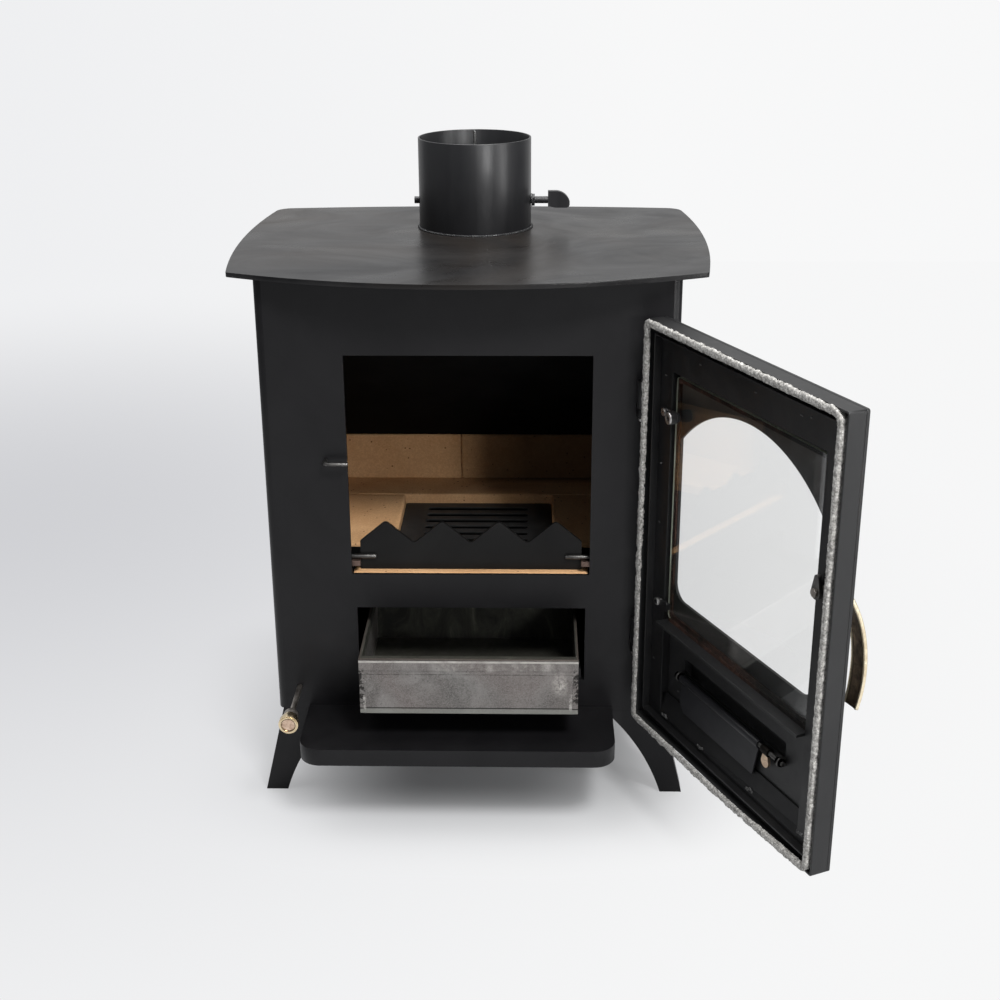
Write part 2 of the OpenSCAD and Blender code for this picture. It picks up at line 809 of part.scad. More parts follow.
// The baffle's own frame: from its lower edge on the back bricks up along its slope.
module on_baffle() {
    from_base() translate([0, brick_face_y + baffle_seat, brick_z + brick_h + seat_gap])
        rotate([-baffle_tilt, 0, 0]) children();
}

module baffle() color(black) on_baffle()
    block(baffle_w, -baffle_l, 0, 0, baffle_t);

rest_w = 14;
rest_h = 10;

module baffle_supports() color(black) on_baffle()
    for (s = [-1, 1])
        block(rest_w, -baffle_l * 0.95, -baffle_l * 0.55, -rest_h, 0, s * (inner_w - rest_w) / 2);

// ---- Fire fence ----

fence_set = 9.5; // distance of the fence behind the front plate
fence_y = inner_front_y + fence_set;
fence_z = brick_z + front_brick_h + seat_gap;
peak_n = 4;

// The flanks lean so that they run into the rounds of the peaks and of the valleys.
half_pitch = fence_pitch / 2;
round_r = fence_peak_r + fence_valley_r;
flank_rise = fence_peak - fence_valley - round_r;
flank = acos(round_r / norm([half_pitch, flank_rise])) - atan(flank_rise / half_pitch);
peak_cz = fence_peak - fence_peak_r;
valley_cz = fence_valley + fence_valley_r;
valley_tip = valley_cz - fence_valley_r / sin(flank);

// One peak at the origin, with half of the valley on each side.
module peak() {
    translate([0, peak_cz]) circle(fence_peak_r);
    polygon([
        [-half_pitch, 0],
        [half_pitch, 0],
        [half_pitch, valley_tip],
        [fence_peak_r * cos(flank), peak_cz + fence_peak_r * sin(flank)],
        [-fence_peak_r * cos(flank), peak_cz + fence_peak_r * sin(flank)],
        [-half_pitch, valley_tip]
    ]);
    for (s = [0, 1])
        mirror([s, 0])
            intersection() {
                corner_waste([half_pitch, valley_cz], fence_valley_r,
                    [half_pitch - fence_valley_r * cos(flank), valley_cz - fence_valley_r * sin(flank)],
                    [half_pitch + fence_valley_r * cos(flank), valley_cz - fence_valley_r * sin(flank)],
                    [half_pitch, valley_tip - past]);
                square([half_pitch, fence_peak]);
            }
}

module fire_fence() color(black) from_base()
    translate([0, fence_y + fence_t, fence_z]) rotate([90, 0, 0]) linear_extrude(fence_t) intersection() {
        translate([-fence_w / 2, 0]) square([fence_w, fence_peak]);
        for (i = [0 : peak_n - 1])
            translate([(i - (peak_n - 1) / 2) * fence_pitch, 0]) peak();
    }

ear_rise = 16; // height of the ears above the fence's foot
ear_reach = 3; // how far they reach past the fire opening's sides
ear_z = fence_z + ear_rise;
ear_in = fire_w / 2 + ear_reach;

module fence_ears() color(bare) from_base()
    for (s = [-1, 1])
        translate([s * (ear_in - ear_l / 2), fence_y - ear_d / 2, ear_z])
            rod_x_way(ear_d, -ear_l / 2, ear_l / 2);

// Lugs on the back of the front plate, on which the ears lie.
lug_w = 18;
lug_t = 6;
lug_top = ear_z - ear_d / 2 - seat_gap;

module fence_lugs() color(bare) from_base()
    for (s = [-1, 1])
        block(lug_w, inner_front_y, fence_y - past / 2, lug_top - lug_t, lug_top, s * fire_w / 2);

// ---- Ash pan ----

pan_front_y = front_y - pan_out;
pan_z = ash_floor_z + seat_gap;
strip_t = pan_t * 0.6; // how far the strips stand off the front

module ash_pan() color(steel) from_base() translate([0, pan_front_y, pan_z]) {
    difference() {
        block(pan_w, 0, pan_l, 0, pan_h);
        block(pan_w - 2 * pan_t, pan_t, pan_l - pan_t, pan_t, pan_h + past);
    }
    // the rim of the front is folded over, flat on top and down outside, with a rolled edge
    block(pan_w, 0, pan_rim, pan_h - pan_t, pan_h);
    block(pan_w, -pan_t, 0, pan_h - pan_hem, pan_h - pan_t);
    translate([0, 0, pan_h - pan_t]) rod_x_way(2 * pan_t, -pan_w / 2, pan_w / 2);
    // the sides' rims are folded in and lie flat
    for (s = [-1, 1])
        block(pan_t, pan_t, pan_l - pan_t, pan_h - pan_hem, pan_h, s * (pan_w / 2 - 1.5 * pan_t));
    // strips of the sides, folded round onto the front
    for (s = [-1, 1])
        block(pan_strip, -strip_t, 0, pan_t, pan_h - pan_hem - seat_gap, s * (pan_w - pan_strip) / 2);
}

// ---- Air control ----

knob_y = front_y - rod_out;
rod_inner_y = slide_y + 12;

module at_rod() {
    from_base() translate([-rod_x, 0, rod_z]) children();
}

module air_rod() color(steel) at_rod() rod_y(rod_d, knob_y + knob_l * 0.5, rod_inner_y);

// Turned knob with a raised ring round a sunk disc, open behind for the rod.
module rod_knob() color(brass) at_rod() difference() {
    union() {
        rod_y(knob_d * 0.82, knob_y + 1.5, knob_y + knob_l);
        rod_y(knob_d, knob_y + 1, knob_y + knob_l * 0.55);
        rod_y(knob_d * 0.9, knob_y, knob_y + 2);
    }
    rod_y(knob_d * 0.68, knob_y - past, knob_y + 1.2);
    rod_y(rod_d + 2 * run_fit, knob_y + knob_l * 0.5, knob_y + knob_l + past);
}

module rod_collar() color(steel) at_rod() difference() {
    rod_y(rod_collar_d, knob_y + knob_l, knob_y + knob_l + rod_collar_l);
    rod_y(rod_d + 2 * run_fit, knob_y + knob_l - past, knob_y + knob_l + rod_collar_l + past);
}

// Flat slide over the bottom plate's inlets, with the upright that the rod is fixed to.
module air_slide_plate() color(black) from_base() difference() {
    union() {
        block(slide_w, slide_y, slide_y + slide_l, floor_t + seat_gap, floor_t + seat_gap + slide_t, slide_x);
        block(16, rod_inner_y, rod_inner_y + slide_t, floor_t + seat_gap, rod_z + rod_d, -rod_x);
    }
    inlets(slide_x, slide_inlet_y, floor_t + seat_gap, slide_t);
}

// ---- Door ----
// In the door's own frame U runs from its hinge edge to its free edge, W from the rope's face to
// the outer face, and Z from its lower edge up.

hinge_x = door_w / 2 + hinge_out;
hinge_y = front_y - door_gap - hinge_in;

module on_door() {
    from_base() translate([hinge_x, hinge_y, door_z]) rotate([0, 0, 180 + door_angle])
        translate([hinge_out, -hinge_in, 0]) children();
}

// Draws a U-Z outline and gives it the thickness between the depths w0 and w1.
module slab(w0, w1) {
    translate([0, w1, 0]) rotate([90, 0, 0]) linear_extrude(w1 - w0) children();
}

panel_w = door_d - door_t; // depth of the face plate's inner side
rope_in = rim_t + rope_d;
channel_t = 1.7;
frame_in = rope_in + seat_gap + channel_t;
frame_w = panel_w - seal_t - glass_t - seat_gap - frame_t; // depth of the inner frame's face
window_u0 = window_margin_hinge;
window_w = door_w - window_margin_hinge - window_margin_free;
window_u = window_u0 + window_w / 2;
spring_z = door_h - window_top_margin - window_rise;
arch_r = (pow(window_w / 2, 2) + pow(window_rise, 2)) / (2 * window_rise);

module window_outline() {
    translate([window_u0, window_z + window_r]) square([window_w, spring_z - window_z - window_r]);
    translate([window_u0 + window_r, window_z]) square([window_w - 2 * window_r, window_r]);
    for (u = [window_u0 + window_r, window_u0 + window_w - window_r])
        translate([u, window_z + window_r]) circle(window_r);
    intersection() {
        translate([window_u, spring_z + window_rise - arch_r]) circle(arch_r, $fn = arc_fn);
        translate([window_u0, spring_z - past]) square([window_w, window_rise + past]);
    }
}

module air_slot_outline() {
    translate([air_slot_u - air_slot_w / 2, air_slot_z])
        round_rect(air_slot_w, air_slot_h, 2);
}

glass_u0 = window_u0 - glass_over;
glass_w = window_w + 2 * glass_over;
latch_u = glass_u0 + glass_w + latch_clear + latch_d / 2;

module at_latch(w) {
    on_door() translate([latch_u, w, latch_z]) rotate([-90, 0, 0]) children();
}

module latch_hole() {
    translate([latch_u, latch_z]) circle(d = latch_d + 2 * hole_fit);
}

module door_panel() color(black) on_door() slab(panel_w, door_d) difference() {
    round_rect(door_w, door_h, door_r);
    window_outline();
    air_slot_outline();
    latch_hole();
}

// A ring between the margins a and b from the door's edges.
module ring(a, b) difference() {
    translate([a, a]) square([door_w - 2 * a, door_h - 2 * a]);
    translate([b, b]) square([door_w - 2 * b, door_h - 2 * b]);
}

module door_rim() color(black) on_door() slab(rope_proud, panel_w) difference() {
    round_rect(door_w, door_h, door_r);
    translate([rim_t, rim_t]) square([door_w - 2 * rim_t, door_h - 2 * rim_t]);
}

module rope_channel() color(black) on_door() {
    slab(rope_d, rope_d + channel_t) ring(rim_t, frame_in);
    slab(rope_proud + 1, panel_w) ring(frame_in - channel_t, frame_in);
}

// Rope with rounded outer corners and a rounded sealing face.
rope_flat = rope_d * 0.5;

module door_rope() color(rope_grey) on_door() {
    slab(rope_d - rope_flat, rope_d) ring(rim_t, rope_in);
    slab(rope_d * 0.2, rope_d - rope_flat) ring(rim_t + 0.4, rope_in - 0.4);
    slab(0, rope_d * 0.2) ring(rim_t + rope_d * 0.2, rope_in - rope_d * 0.2);
}

glass_z = window_z - glass_drop;
glass_top = spring_z + window_rise + glass_over + 5.8;
glass_in = panel_w - seal_t; // depth of the glass's outer face
free_stile_u = glass_u0 + glass_w - 2.5;
frame_top = door_h - frame_in;
clip_u = frame_in + stile_w * 0.54;
clip_z = glass_z + 13;
standoff_z = spring_z + 23.5;
standoff_u = glass_u0 + 5.9;

module small_hole(u, z) {
    translate([u, z]) circle(d = small_screw_d + 2 * hole_fit);
}

module inner_frame() color(black) on_door() {
    slab(frame_w, frame_w + frame_t) difference() {
        translate([frame_in, frame_in]) square([door_w - 2 * frame_in, door_h - 2 * frame_in]);
        translate([frame_in + stile_w, frame_in + 4])
            square([free_stile_u - frame_in - stile_w, frame_top - band_w - frame_in - 4]);
        latch_hole();
        small_hole(clip_u, clip_z);
        small_hole(clip_u, standoff_z);
    }
    // returns that close the stile and the top band against the face plate
    slab(frame_w + frame_t, panel_w) {
        translate([frame_in + stile_w - frame_t, frame_in + slope_h])
            square([frame_t, frame_top - frame_in - slope_h]);
        translate([frame_in + stile_w - frame_t, frame_top - band_w])
            square([free_stile_u - frame_in - stile_w + 2 * frame_t, frame_t]);
    }
    // sloped band along the bottom
    translate([frame_in, 0, frame_in]) rotate([90, 0, 90]) linear_extrude(door_w - 2 * frame_in)
        polygon([
            [frame_w, 4 - frame_t],
            [frame_w + frame_t, 4 - frame_t],
            [panel_w, slope_h - frame_t],
            [panel_w, slope_h],
            [panel_w - frame_t * 0.7, slope_h],
            [frame_w, 4]
        ]);
}

ledge_z = glass_z - 7;
ledge_u0 = frame_in + stile_w;
ledge_l = free_stile_u - ledge_u0;

module glass_ledge() color(black) on_door()
    translate([ledge_u0, panel_w - ledge_d, ledge_z]) cube([ledge_l, ledge_d, ledge_t]);

module glass_outline(in) {
    translate([glass_u0 + in, glass_z + in])
        round_rect(glass_w - 2 * in, glass_top - glass_z - 2 * in, 4);
}

module window_glass() color(clear) on_door() slab(glass_in - glass_t, glass_in) glass_outline(0);

module glass_gasket() color([0.45, 0.33, 0.25]) on_door() {
    slab(glass_in, panel_w) difference() {
        glass_outline(0);
        glass_outline(5);
    }
    // rope that the glass stands on
    translate([glass_u0 + 2, glass_in - glass_t, ledge_z + ledge_t])
        cube([glass_w - 4, glass_t, glass_z - ledge_z - ledge_t]);
}

clip_t = 1.5;
clip_w = 11;
clip_face = frame_w - clip_t;

// A leaf from the stile to the glass; its foot ends just clear of the glass.
module leaf(z, reach, foot) {
    slab(clip_face, frame_w) difference() {
        translate([clip_u - clip_w / 2, z - clip_w / 2]) round_rect(reach, clip_w, 3);
        small_hole(clip_u, z);
        if (foot == 0) translate([standoff_u, z]) circle(d = small_screw_d + 2 + 2 * hole_fit);
    }
    if (foot > 0)
        translate([clip_u - clip_w / 2 + reach - foot, frame_w, z - clip_w / 2 + 2])
            cube([foot - 1, glass_in - glass_t - seat_gap - frame_w, clip_w - 4]);
}

module glass_clips() color(bare) on_door() {
    leaf(clip_z, glass_u0 - clip_u + clip_w / 2 + 5, 4.5);
    leaf(standoff_z, standoff_u - clip_u + clip_w, 0);
}

module small_screw() {
    cylinder(d = small_screw_d, h = clip_t + frame_t + 0.5);
    translate([0, 0, -2.2]) cylinder(d = small_screw_d * 2, h = 2.2);
}

module clip_screws() color(steel) on_door()
    for (z = [clip_z, standoff_z])
        translate([clip_u, clip_face, z]) rotate([-90, 0, 0]) small_screw();

// Stud through the upper leaf, with a pad on the glass and a tall head.
module glass_standoff() color(black) on_door() translate([standoff_u, 0, standoff_z]) {
    rod_y(13, 2, clip_face);
    rod_y(small_screw_d + 2, clip_face, frame_w);
    rod_y(10, frame_w, glass_in - glass_t - seat_gap);
}

// Folded cowl over the slot on the door's outer face, open along its lower edge.
cowl_t = 2;
cowl_w = air_slot_w + 8;
cowl_top = air_slot_h + 5;

module air_cowl() color(black) on_door() translate([air_slot_u, door_d, air_slot_z]) difference() {
    block(cowl_w, 0, cowl_d, -cowl_drop, cowl_top);
    block(cowl_w - 2 * cowl_t, -past, cowl_d - cowl_t, -cowl_drop - past, cowl_top - cowl_t);
}

flap_w_depth = panel_w - 5;
flap_axis_z = air_slot_z - 3;
flap_u0 = air_slot_u - air_slot_w / 2 + 5;
barrel_d = flap_rod_d + 3.4;
bracket_t = 2;
rod_end = 4;

module at_flap() {
    on_door() translate([0, flap_w_depth, flap_axis_z]) children();
}

bracket_u = [air_slot_u - air_slot_w / 2 - 1, air_slot_u + air_slot_w / 2 - 1];

module flap_brackets() color(bare) at_flap()
    for (u = bracket_u)
        difference() {
            union() {
                translate([u, 0, -flap_rod_d]) cube([bracket_t, panel_w - flap_w_depth, 2 * flap_rod_d]);
                rod_x_at(u, 2 * flap_rod_d, bracket_t);
            }
            rod_x_at(u - past, flap_rod_d + 2 * run_fit, bracket_t + 2 * past);
        }

module flap_rod() color(bare) at_flap()
    rod_x_at(bracket_u[0] - rod_end, flap_rod_d, bracket_u[1] - bracket_u[0] + bracket_t + 2 * rod_end);

tab_r = 6;
tab_tip_r = 2.5;
tab_t = 3;
tab_u = flap_u0 + flap_w + 2 * tab_r;

flap_slant = 9; // how far its free end leans in at the foot
flap_corner = 8; // the cut corner at its other end

// Plate that hangs from a curled edge round the rod.
module air_flap() color(black) at_flap() difference() {
    union() {
        rod_x_at(flap_u0, barrel_d, flap_w);
        slab(-flap_t / 2, flap_t / 2) polygon([
            [flap_u0 + 2, 0],
            [flap_u0 + flap_w, 0],
            [flap_u0 + flap_w - flap_slant, -flap_l],
            [flap_u0 - 2 + flap_corner, -flap_l],
            [flap_u0 - 2, -flap_l + flap_corner]
        ]);
    }
    rod_x_at(flap_u0 - rod_end, flap_rod_d + 2 * run_fit, flap_w + 2 * rod_end);
}

// Drop-shaped finger tab on the rod beside the flap.
module flap_tab() color(brass) at_flap() difference() {
    union() {
        rod_x_at(tab_u - tab_r, barrel_d, 2 * tab_r);
        translate([tab_u, 0, -2 * tab_r]) slab(-tab_t / 2, tab_t / 2) drop(tab_r, tab_tip_r, 2 * tab_r);
    }
    rod_x_at(tab_u - tab_r - past, flap_rod_d + 2 * run_fit, 2 * (tab_r + past));
}

knuckle_d = pin_d + 7;
lug_h = 10;

module at_hinges() {
    for (z = [hinge_low, hinge_high])
        translate([0, 0, z]) children();
}

module hinge_knuckles() color(black) on_door() at_hinges() difference() {
    union() {
        translate([-hinge_out, hinge_in, 0]) cylinder(d = knuckle_d, h = knuckle_h);
        translate([-hinge_out, hinge_in - 4, 0]) cube([hinge_out, 8, knuckle_h]);
    }
    translate([-hinge_out, hinge_in, -past]) cylinder(d = pin_d + 2 * run_fit, h = knuckle_h + 2 * past);
}

module on_hinge() {
    from_base() translate([hinge_x, hinge_y, door_z]) at_hinges() children();
}

module hinge_lugs() color(black) on_hinge() translate([0, 0, -seat_gap - lug_h]) difference() {
    union() {
        cylinder(d = knuckle_d, h = lug_h);
        translate([-knuckle_d / 2, 0, 0]) cube([knuckle_d, front_y - hinge_y, lug_h]);
    }
    translate([0, 0, -past]) cylinder(d = pin_d + 2 * run_fit, h = lug_h + 2 * past);
}

module hinge_pins() color(steel) on_hinge() {
    translate([0, 0, -seat_gap - lug_h]) cylinder(d = pin_d, h = lug_h + knuckle_h);
    translate([0, 0, -seat_gap - lug_h - 3]) cylinder(d = pin_d + 4, h = 3);
}

// ---- Latch, handle and keeper ----

bow_a = [door_d + 5.8, latch_z + 4.4]; // upper end of the handle's middle line
bow_b = [door_d + handle_out, latch_z + 4.4 - handle_h];
bow_mid = arc_centre(bow_b, bow_a, handle_r);
boss_d = latch_d + 7;
boss_l = 8.5;

// Spindle whose thinner inner end goes through the cam and is riveted over.
spindle_end = door_d + 6;
rivet_h = 2.4;

module latch_spindle() color(bare) at_latch(0) {
    translate([0, 0, cam_in + cam_t]) cylinder(d = latch_d, h = spindle_end - cam_in - cam_t);
    translate([0, 0, cam_in - rivet_h]) cylinder(d = small_screw_d, h = cam_t + rivet_h + past);
    translate([0, 0, cam_in - rivet_h]) cylinder(d = small_screw_d * 2, h = rivet_h);
}

module latch_cam() color(bare) at_latch(cam_in) difference() {
    linear_extrude(cam_t) rotate(180) drop(6.5, 3, cam_l - 3);
    translate([0, 0, -past]) cylinder(d = small_screw_d + 2 * run_fit, h = cam_t + 2 * past);
}

module handle_bow() {
    translate(bow_mid) difference() {
        circle(handle_r + handle_t / 2, $fn = arc_fn);
        circle(handle_r - handle_t / 2, $fn = arc_fn);
    }
}

// Bowed strap hanging from a boss on the spindle.
module door_handle() color(brass) on_door() difference() {
    union() {
        translate([latch_u - handle_w / 2, 0, 0]) rotate([90, 0, 90]) linear_extrude(handle_w)
            intersection() {
                handle_bow();
                translate([door_d, bow_b.y]) square([handle_r, handle_h]);
            }
        translate([latch_u, door_d + seat_gap, latch_z]) rotate([-90, 0, 0])
            cylinder(d = boss_d, h = boss_l);
    }
    translate([latch_u, door_d - past, latch_z]) rotate([-90, 0, 0])
        cylinder(d = latch_d + 2 * run_fit, h = spindle_end - door_d + past + seat_gap);
}

latch_x = door_w / 2 - latch_u;
keeper_z = door_z + latch_z + keeper_rise;
keeper_x = latch_x - keeper_l * 0.55;

// Bent rod on the front plate whose bar the cam turns behind.
module latch_keeper() color(bare) from_base() {
    bend = keeper_d;
    translate([keeper_x, 0, keeper_z]) rod_y(keeper_d, front_y - keeper_out + bend, front_y);
    translate([keeper_x + bend, front_y - keeper_out + bend, keeper_z])
        rotate([0, 0, 180]) rotate_extrude(angle = 90) translate([bend, 0]) circle(d = keeper_d);
    translate([keeper_x, front_y - keeper_out, keeper_z]) rod_x_way(keeper_d, bend, keeper_l);
}

body_wrap();
back_panel();
bottom_plate();
ash_floor();
firebox_floor();
top_plate();
flue_collar();
leg_front_left();
leg_front_right();
leg_rear_left();
leg_rear_right();
leg_screws();
ash_lip();
lip_screws();
side_brick_left();
side_brick_right();
back_brick_left();
back_brick_right();
base_brick_left();
base_brick_right();
base_brick_rear();
front_brick();
grate();
baffle();
baffle_supports();
latch_keeper();
hinge_lugs();
hinge_pins();
fence_lugs();
fire_fence();
fence_ears();
ash_pan();
air_rod();
rod_knob();
rod_collar();
air_slide_plate();
damper_spindle();
damper_plate();
damper_nut();
damper_knob();
door_panel();
door_rim();
rope_channel();
inner_frame();
door_rope();
glass_ledge();
window_glass();
glass_gasket();
glass_clips();
clip_screws();
glass_standoff();
air_cowl();
flap_brackets();
hinge_knuckles();
flap_rod();
air_flap();
flap_tab();
latch_spindle();
latch_cam();
door_handle();
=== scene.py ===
"""Looks for a small steel multi-fuel stove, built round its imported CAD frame.

The row frame is in metres, with +Z up and the stove's front to -Y. Named sizes are millimetres.
"""
import math
import random

import bmesh
import bpy
from mathutils import Matrix, Vector, noise
from mathutils.bvhtree import BVHTree


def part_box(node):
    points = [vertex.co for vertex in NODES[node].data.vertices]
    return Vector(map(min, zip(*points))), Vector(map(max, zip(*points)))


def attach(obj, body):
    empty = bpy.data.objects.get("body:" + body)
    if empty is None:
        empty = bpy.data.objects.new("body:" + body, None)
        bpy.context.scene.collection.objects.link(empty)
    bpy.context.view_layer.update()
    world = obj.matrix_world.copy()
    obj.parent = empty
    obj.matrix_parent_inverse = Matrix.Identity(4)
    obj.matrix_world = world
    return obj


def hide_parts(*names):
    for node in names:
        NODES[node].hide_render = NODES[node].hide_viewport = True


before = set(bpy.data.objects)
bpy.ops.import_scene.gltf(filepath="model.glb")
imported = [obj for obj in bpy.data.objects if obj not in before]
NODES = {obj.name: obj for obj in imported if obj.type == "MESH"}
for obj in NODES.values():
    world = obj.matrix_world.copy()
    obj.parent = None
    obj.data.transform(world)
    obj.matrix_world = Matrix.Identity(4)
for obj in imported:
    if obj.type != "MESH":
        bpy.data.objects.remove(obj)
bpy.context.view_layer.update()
MM = 0.001
WAYS = X_WAY, Y_WAY, Z_WAY = Vector((1, 0, 0)), Vector((0, 1, 0)), Vector((0, 0, 1))

# ---- Sizes that the pieces here share with the CAD ----
FLOOR_Z = -712.0
DOOR_ANGLE = 115.0
DOOR_W, DOOR_H, DOOR_D = 336.0, 449.0, 24.0
DOOR_Z = 121.4  # height of the door's lower edge above the floor
HINGE_X, HINGE_Y = 183.9, -251.3
HINGE_OUT, HINGE_IN = 15.9, 12.0  # from the hinge's axis to the door's corner
RIM_T = 2.3
ROPE_D = 10.0  # depth of the rope's channel
PANEL_W = 21.0  # depth of the face plate's inner side
FRAME_W = 12.0  # depth of the inner frame's face
LATCH_U, LATCH_V = 307.3, 275.6
HANDLE_W, HANDLE_T, HANDLE_R, HANDLE_H = 21.0, 4.5, 150.0, 127.0
FLAP_W, FLAP_V, FLAP_ROD_R = 16.0, 76.0, 1.6
CLIP_U, CLIP_V, CLIP_FACE = 27.3, 146.6, FRAME_W - 1.5
STUD_U, STUD_V = 47.6, 357.1
COLLAR_R, COLLAR_T, COLLAR_FOOT = 64.5, 2.0, 610.5
PAN_FRONT, PAN_SIDE = -318.0, 112.6


def door_matrix():
    """From the door's own frame (U along it, W through it, V up, millimetres) to the row frame."""
    turn = Matrix.Rotation(math.radians(180 + DOOR_ANGLE), 4, "Z")
    to_hinge = Matrix.Translation((HINGE_X * MM, HINGE_Y * MM, (FLOOR_Z + DOOR_Z) * MM))
    off_hinge = Matrix.Translation((HINGE_OUT * MM, -HINGE_IN * MM, 0))
    return to_hinge @ turn @ off_hinge @ Matrix.Scale(MM, 4)


DOOR = door_matrix()
DOOR_START = DOOR @ Vector((0, 0, 0))
DOOR_U = (DOOR.to_3x3() @ X_WAY).normalized()
DOOR_THROUGH = (DOOR.to_3x3() @ Y_WAY).normalized()


def above_floor(x, y, h):
    """A point from millimetres, with its height counted from the floor."""
    return Vector((x * MM, y * MM, (FLOOR_Z + h) * MM))


# ---- Materials ----


class Graph:
    """The nodes of one material, in object coordinates, which are the row frame's metres."""

    SOCKETS = {
        "colour": "Base Color",
        "rough": "Roughness",
        "metal": "Metallic",
        "gloss": "Specular IOR Level",
        "clear": "Transmission Weight",
        "bend": "IOR",
        "sheen": "Sheen Weight",
    }

    def __init__(self, name):
        self.material = bpy.data.materials.new(name)
        self.material.use_nodes = True
        self.nodes = self.material.node_tree.nodes
        self.links = self.material.node_tree.links
        self.shader = self.nodes["Principled BSDF"]
        coordinates = self.nodes.new("ShaderNodeTexCoord")
        self.place, self.side = coordinates.outputs["Object"], coordinates.outputs["Normal"]
        self.normal = None

    def give(self, value, socket):
        if isinstance(value, bpy.types.NodeSocket):
            self.links.new(value, socket)
        elif hasattr(value, "__len__") and len(value) == 3 and len(socket.default_value) == 4:
            socket.default_value = (*value, 1)
        else:
            socket.default_value = value

    def add(self, kind, inputs=(), **settings):
        """A node with its settings and its inputs, which are given by name or by number."""
        node = self.nodes.new("ShaderNode" + kind)
        for name, value in settings.items():
            setattr(node, name, value)
        for name, value in dict(inputs).items():
            self.give(value, node.inputs[name])
        return node

    def stretched(self, *scale):
        return self.add("Mapping", {"Vector": self.place, "Scale": scale}).outputs["Vector"]

    def noise(self, scale, detail, rough=0.5, twist=0.0, at=None):
        settings = {"Scale": scale, "Detail": detail, "Roughness": rough, "Distortion": twist}
        return self.add("TexNoise", {"Vector": at or self.place, **settings}).outputs["Fac"]

    def cells(self, scale):
        cells = self.add("TexVoronoi", {"Vector": self.place, "Scale": scale})
        return cells.outputs["Distance"]

    def ramp(self, value, *stops):
        """Colours or greys at places from 0 to 1."""
        node = self.add("ValToRGB", {"Fac": value})
        band = node.color_ramp
        while len(band.elements) < len(stops):
            band.elements.new(0.5)
        for element, (place, colour) in zip(band.elements, stops):
            element.position = place
            element.color = (*(colour if hasattr(colour, "__len__") else (colour,) * 3), 1)
        return node.outputs["Color"]

    def clouds(self, dark, light):
        """The faint clouds that all the stove's paint has."""
        return self.ramp(self.noise(9, 5, 0.6, 0.6), (0.3, dark), (0.75, light))

    def level(self, value, low, high, out_low=0.0, out_high=1.0, way="LINEAR"):
        ends = {"From Min": low, "From Max": high, "To Min": out_low, "To Max": out_high}
        node = self.add("MapRange", {"Value": value, **ends}, interpolation_type=way)
        return node.outputs["Result"]

    def mix(self, share, a, b):
        return self.add("Mix", {0: share, 6: a, 7: b}, data_type="RGBA").outputs[2]

    def sum(self, kind, a, b=0.0):
        return self.add("Math", {0: a, 1: b}, operation=kind).outputs[0]

    def times(self, first, *others):
        for other in others:
            first = self.sum("MULTIPLY", first, other)
        return first

    def vector(self, kind, a, b=(0, 0, 0), output="Value"):
        return self.add("VectorMath", {0: a, 1: b}, operation=kind).outputs[output]

    def axis(self, letter):
        return self.add("SeparateXYZ", {0: self.place}).outputs[letter]

    def ray(self, kind):
        return self.add("LightPath").outputs[kind]

    def along(self, way):
        """Distance along a direction from the door's lower hinge corner, in metres."""
        away = self.vector("SUBTRACT", self.place, DOOR_START, "Vector")
        return self.vector("DOT_PRODUCT", away, way)

    def spot(self, centre, reach):
        """1 in the middle of an ellipsoid, fading to 0 at its edge."""
        away = self.vector("SUBTRACT", self.place, centre, "Vector")
        fit = self.vector("DIVIDE", away, reach, "Vector")
        return self.level(self.vector("LENGTH", fit), 0, 1, 1, 0)

    def band(self, value, low, high, soft):
        """1 between two values, fading over a short way outside them."""
        rise = self.level(value, low - soft, low, 0, 1)
        return self.times(rise, self.level(value, high, high + soft, 1, 0))

    def facing(self, way):
        """How far a surface is turned along a direction of the rest pose, 0 to 1, either way."""
        return self.sum("ABSOLUTE", self.vector("DOT_PRODUCT", self.side, way))

    def bump(self, height, strength, depth_mm):
        inputs = {"Strength": strength, "Distance": depth_mm * MM, "Height": height}
        if self.normal:
            inputs["Normal"] = self.normal
        self.normal = self.add("Bump", inputs).outputs["Normal"]

    def surface(self, shader):
        self.links.new(shader, self.nodes["Material Output"].inputs["Surface"])
        return self.material

    def finish(self, **sockets):
        for name, value in sockets.items():
            self.give(value, self.shader.inputs[self.SOCKETS[name]])
        if self.normal:
            self.links.new(self.normal, self.shader.inputs["Normal"])
        return self.material


def stove_paint(name, dark, light, rough, gloss, rubbed=None):
    """Satin black heat paint: fine texture, faint clouds and a few rubbed places."""
    g = Graph(name)
    colour = g.clouds(dark, light)
    if rubbed:
        patches = g.ramp(g.noise(5.5, 6, 0.62, 1.6), (0.52, 0.0), (0.72, 1.0))
        colour = g.mix(patches, colour, rubbed)
    g.bump(g.noise(1500, 2), 0.25, 0.10)
    g.bump(g.noise(60, 3), 0.08, 0.4)
    rough_map = g.level(g.noise(22, 6, 0.65, 0.9), 0.3, 0.7, *rough)
    return g.finish(colour=colour, rough=rough_map, gloss=gloss)


def top_paint():
    """The top plate: the same paint, wiped and handled, with long smears and brown patches."""
    g = Graph("top_paint")
    smears = g.noise(6, 6, 0.62, 1.2, at=g.stretched(0.55, 1.6, 1))
    colour = g.ramp(smears, (0.3, (0.004, 0.004, 0.0045)), (0.7, (0.017, 0.0165, 0.0165)))
    brown = g.ramp(g.noise(3.0, 3, 0.5, 0.8), (0.5, 0.0), (0.7, 0.7))
    colour = g.mix(brown, colour, (0.022, 0.017, 0.013))
    swirls = g.noise(7, 4, 0.55, 2.4, at=g.stretched(0.8, 1.2, 1))
    g.bump(g.noise(1500, 2), 0.2, 0.08)
    g.bump(g.noise(26, 4), 0.12, 0.5)
    return g.finish(colour=colour, rough=g.level(swirls, 0.34, 0.66, 0.25, 0.37), gloss=0.20)


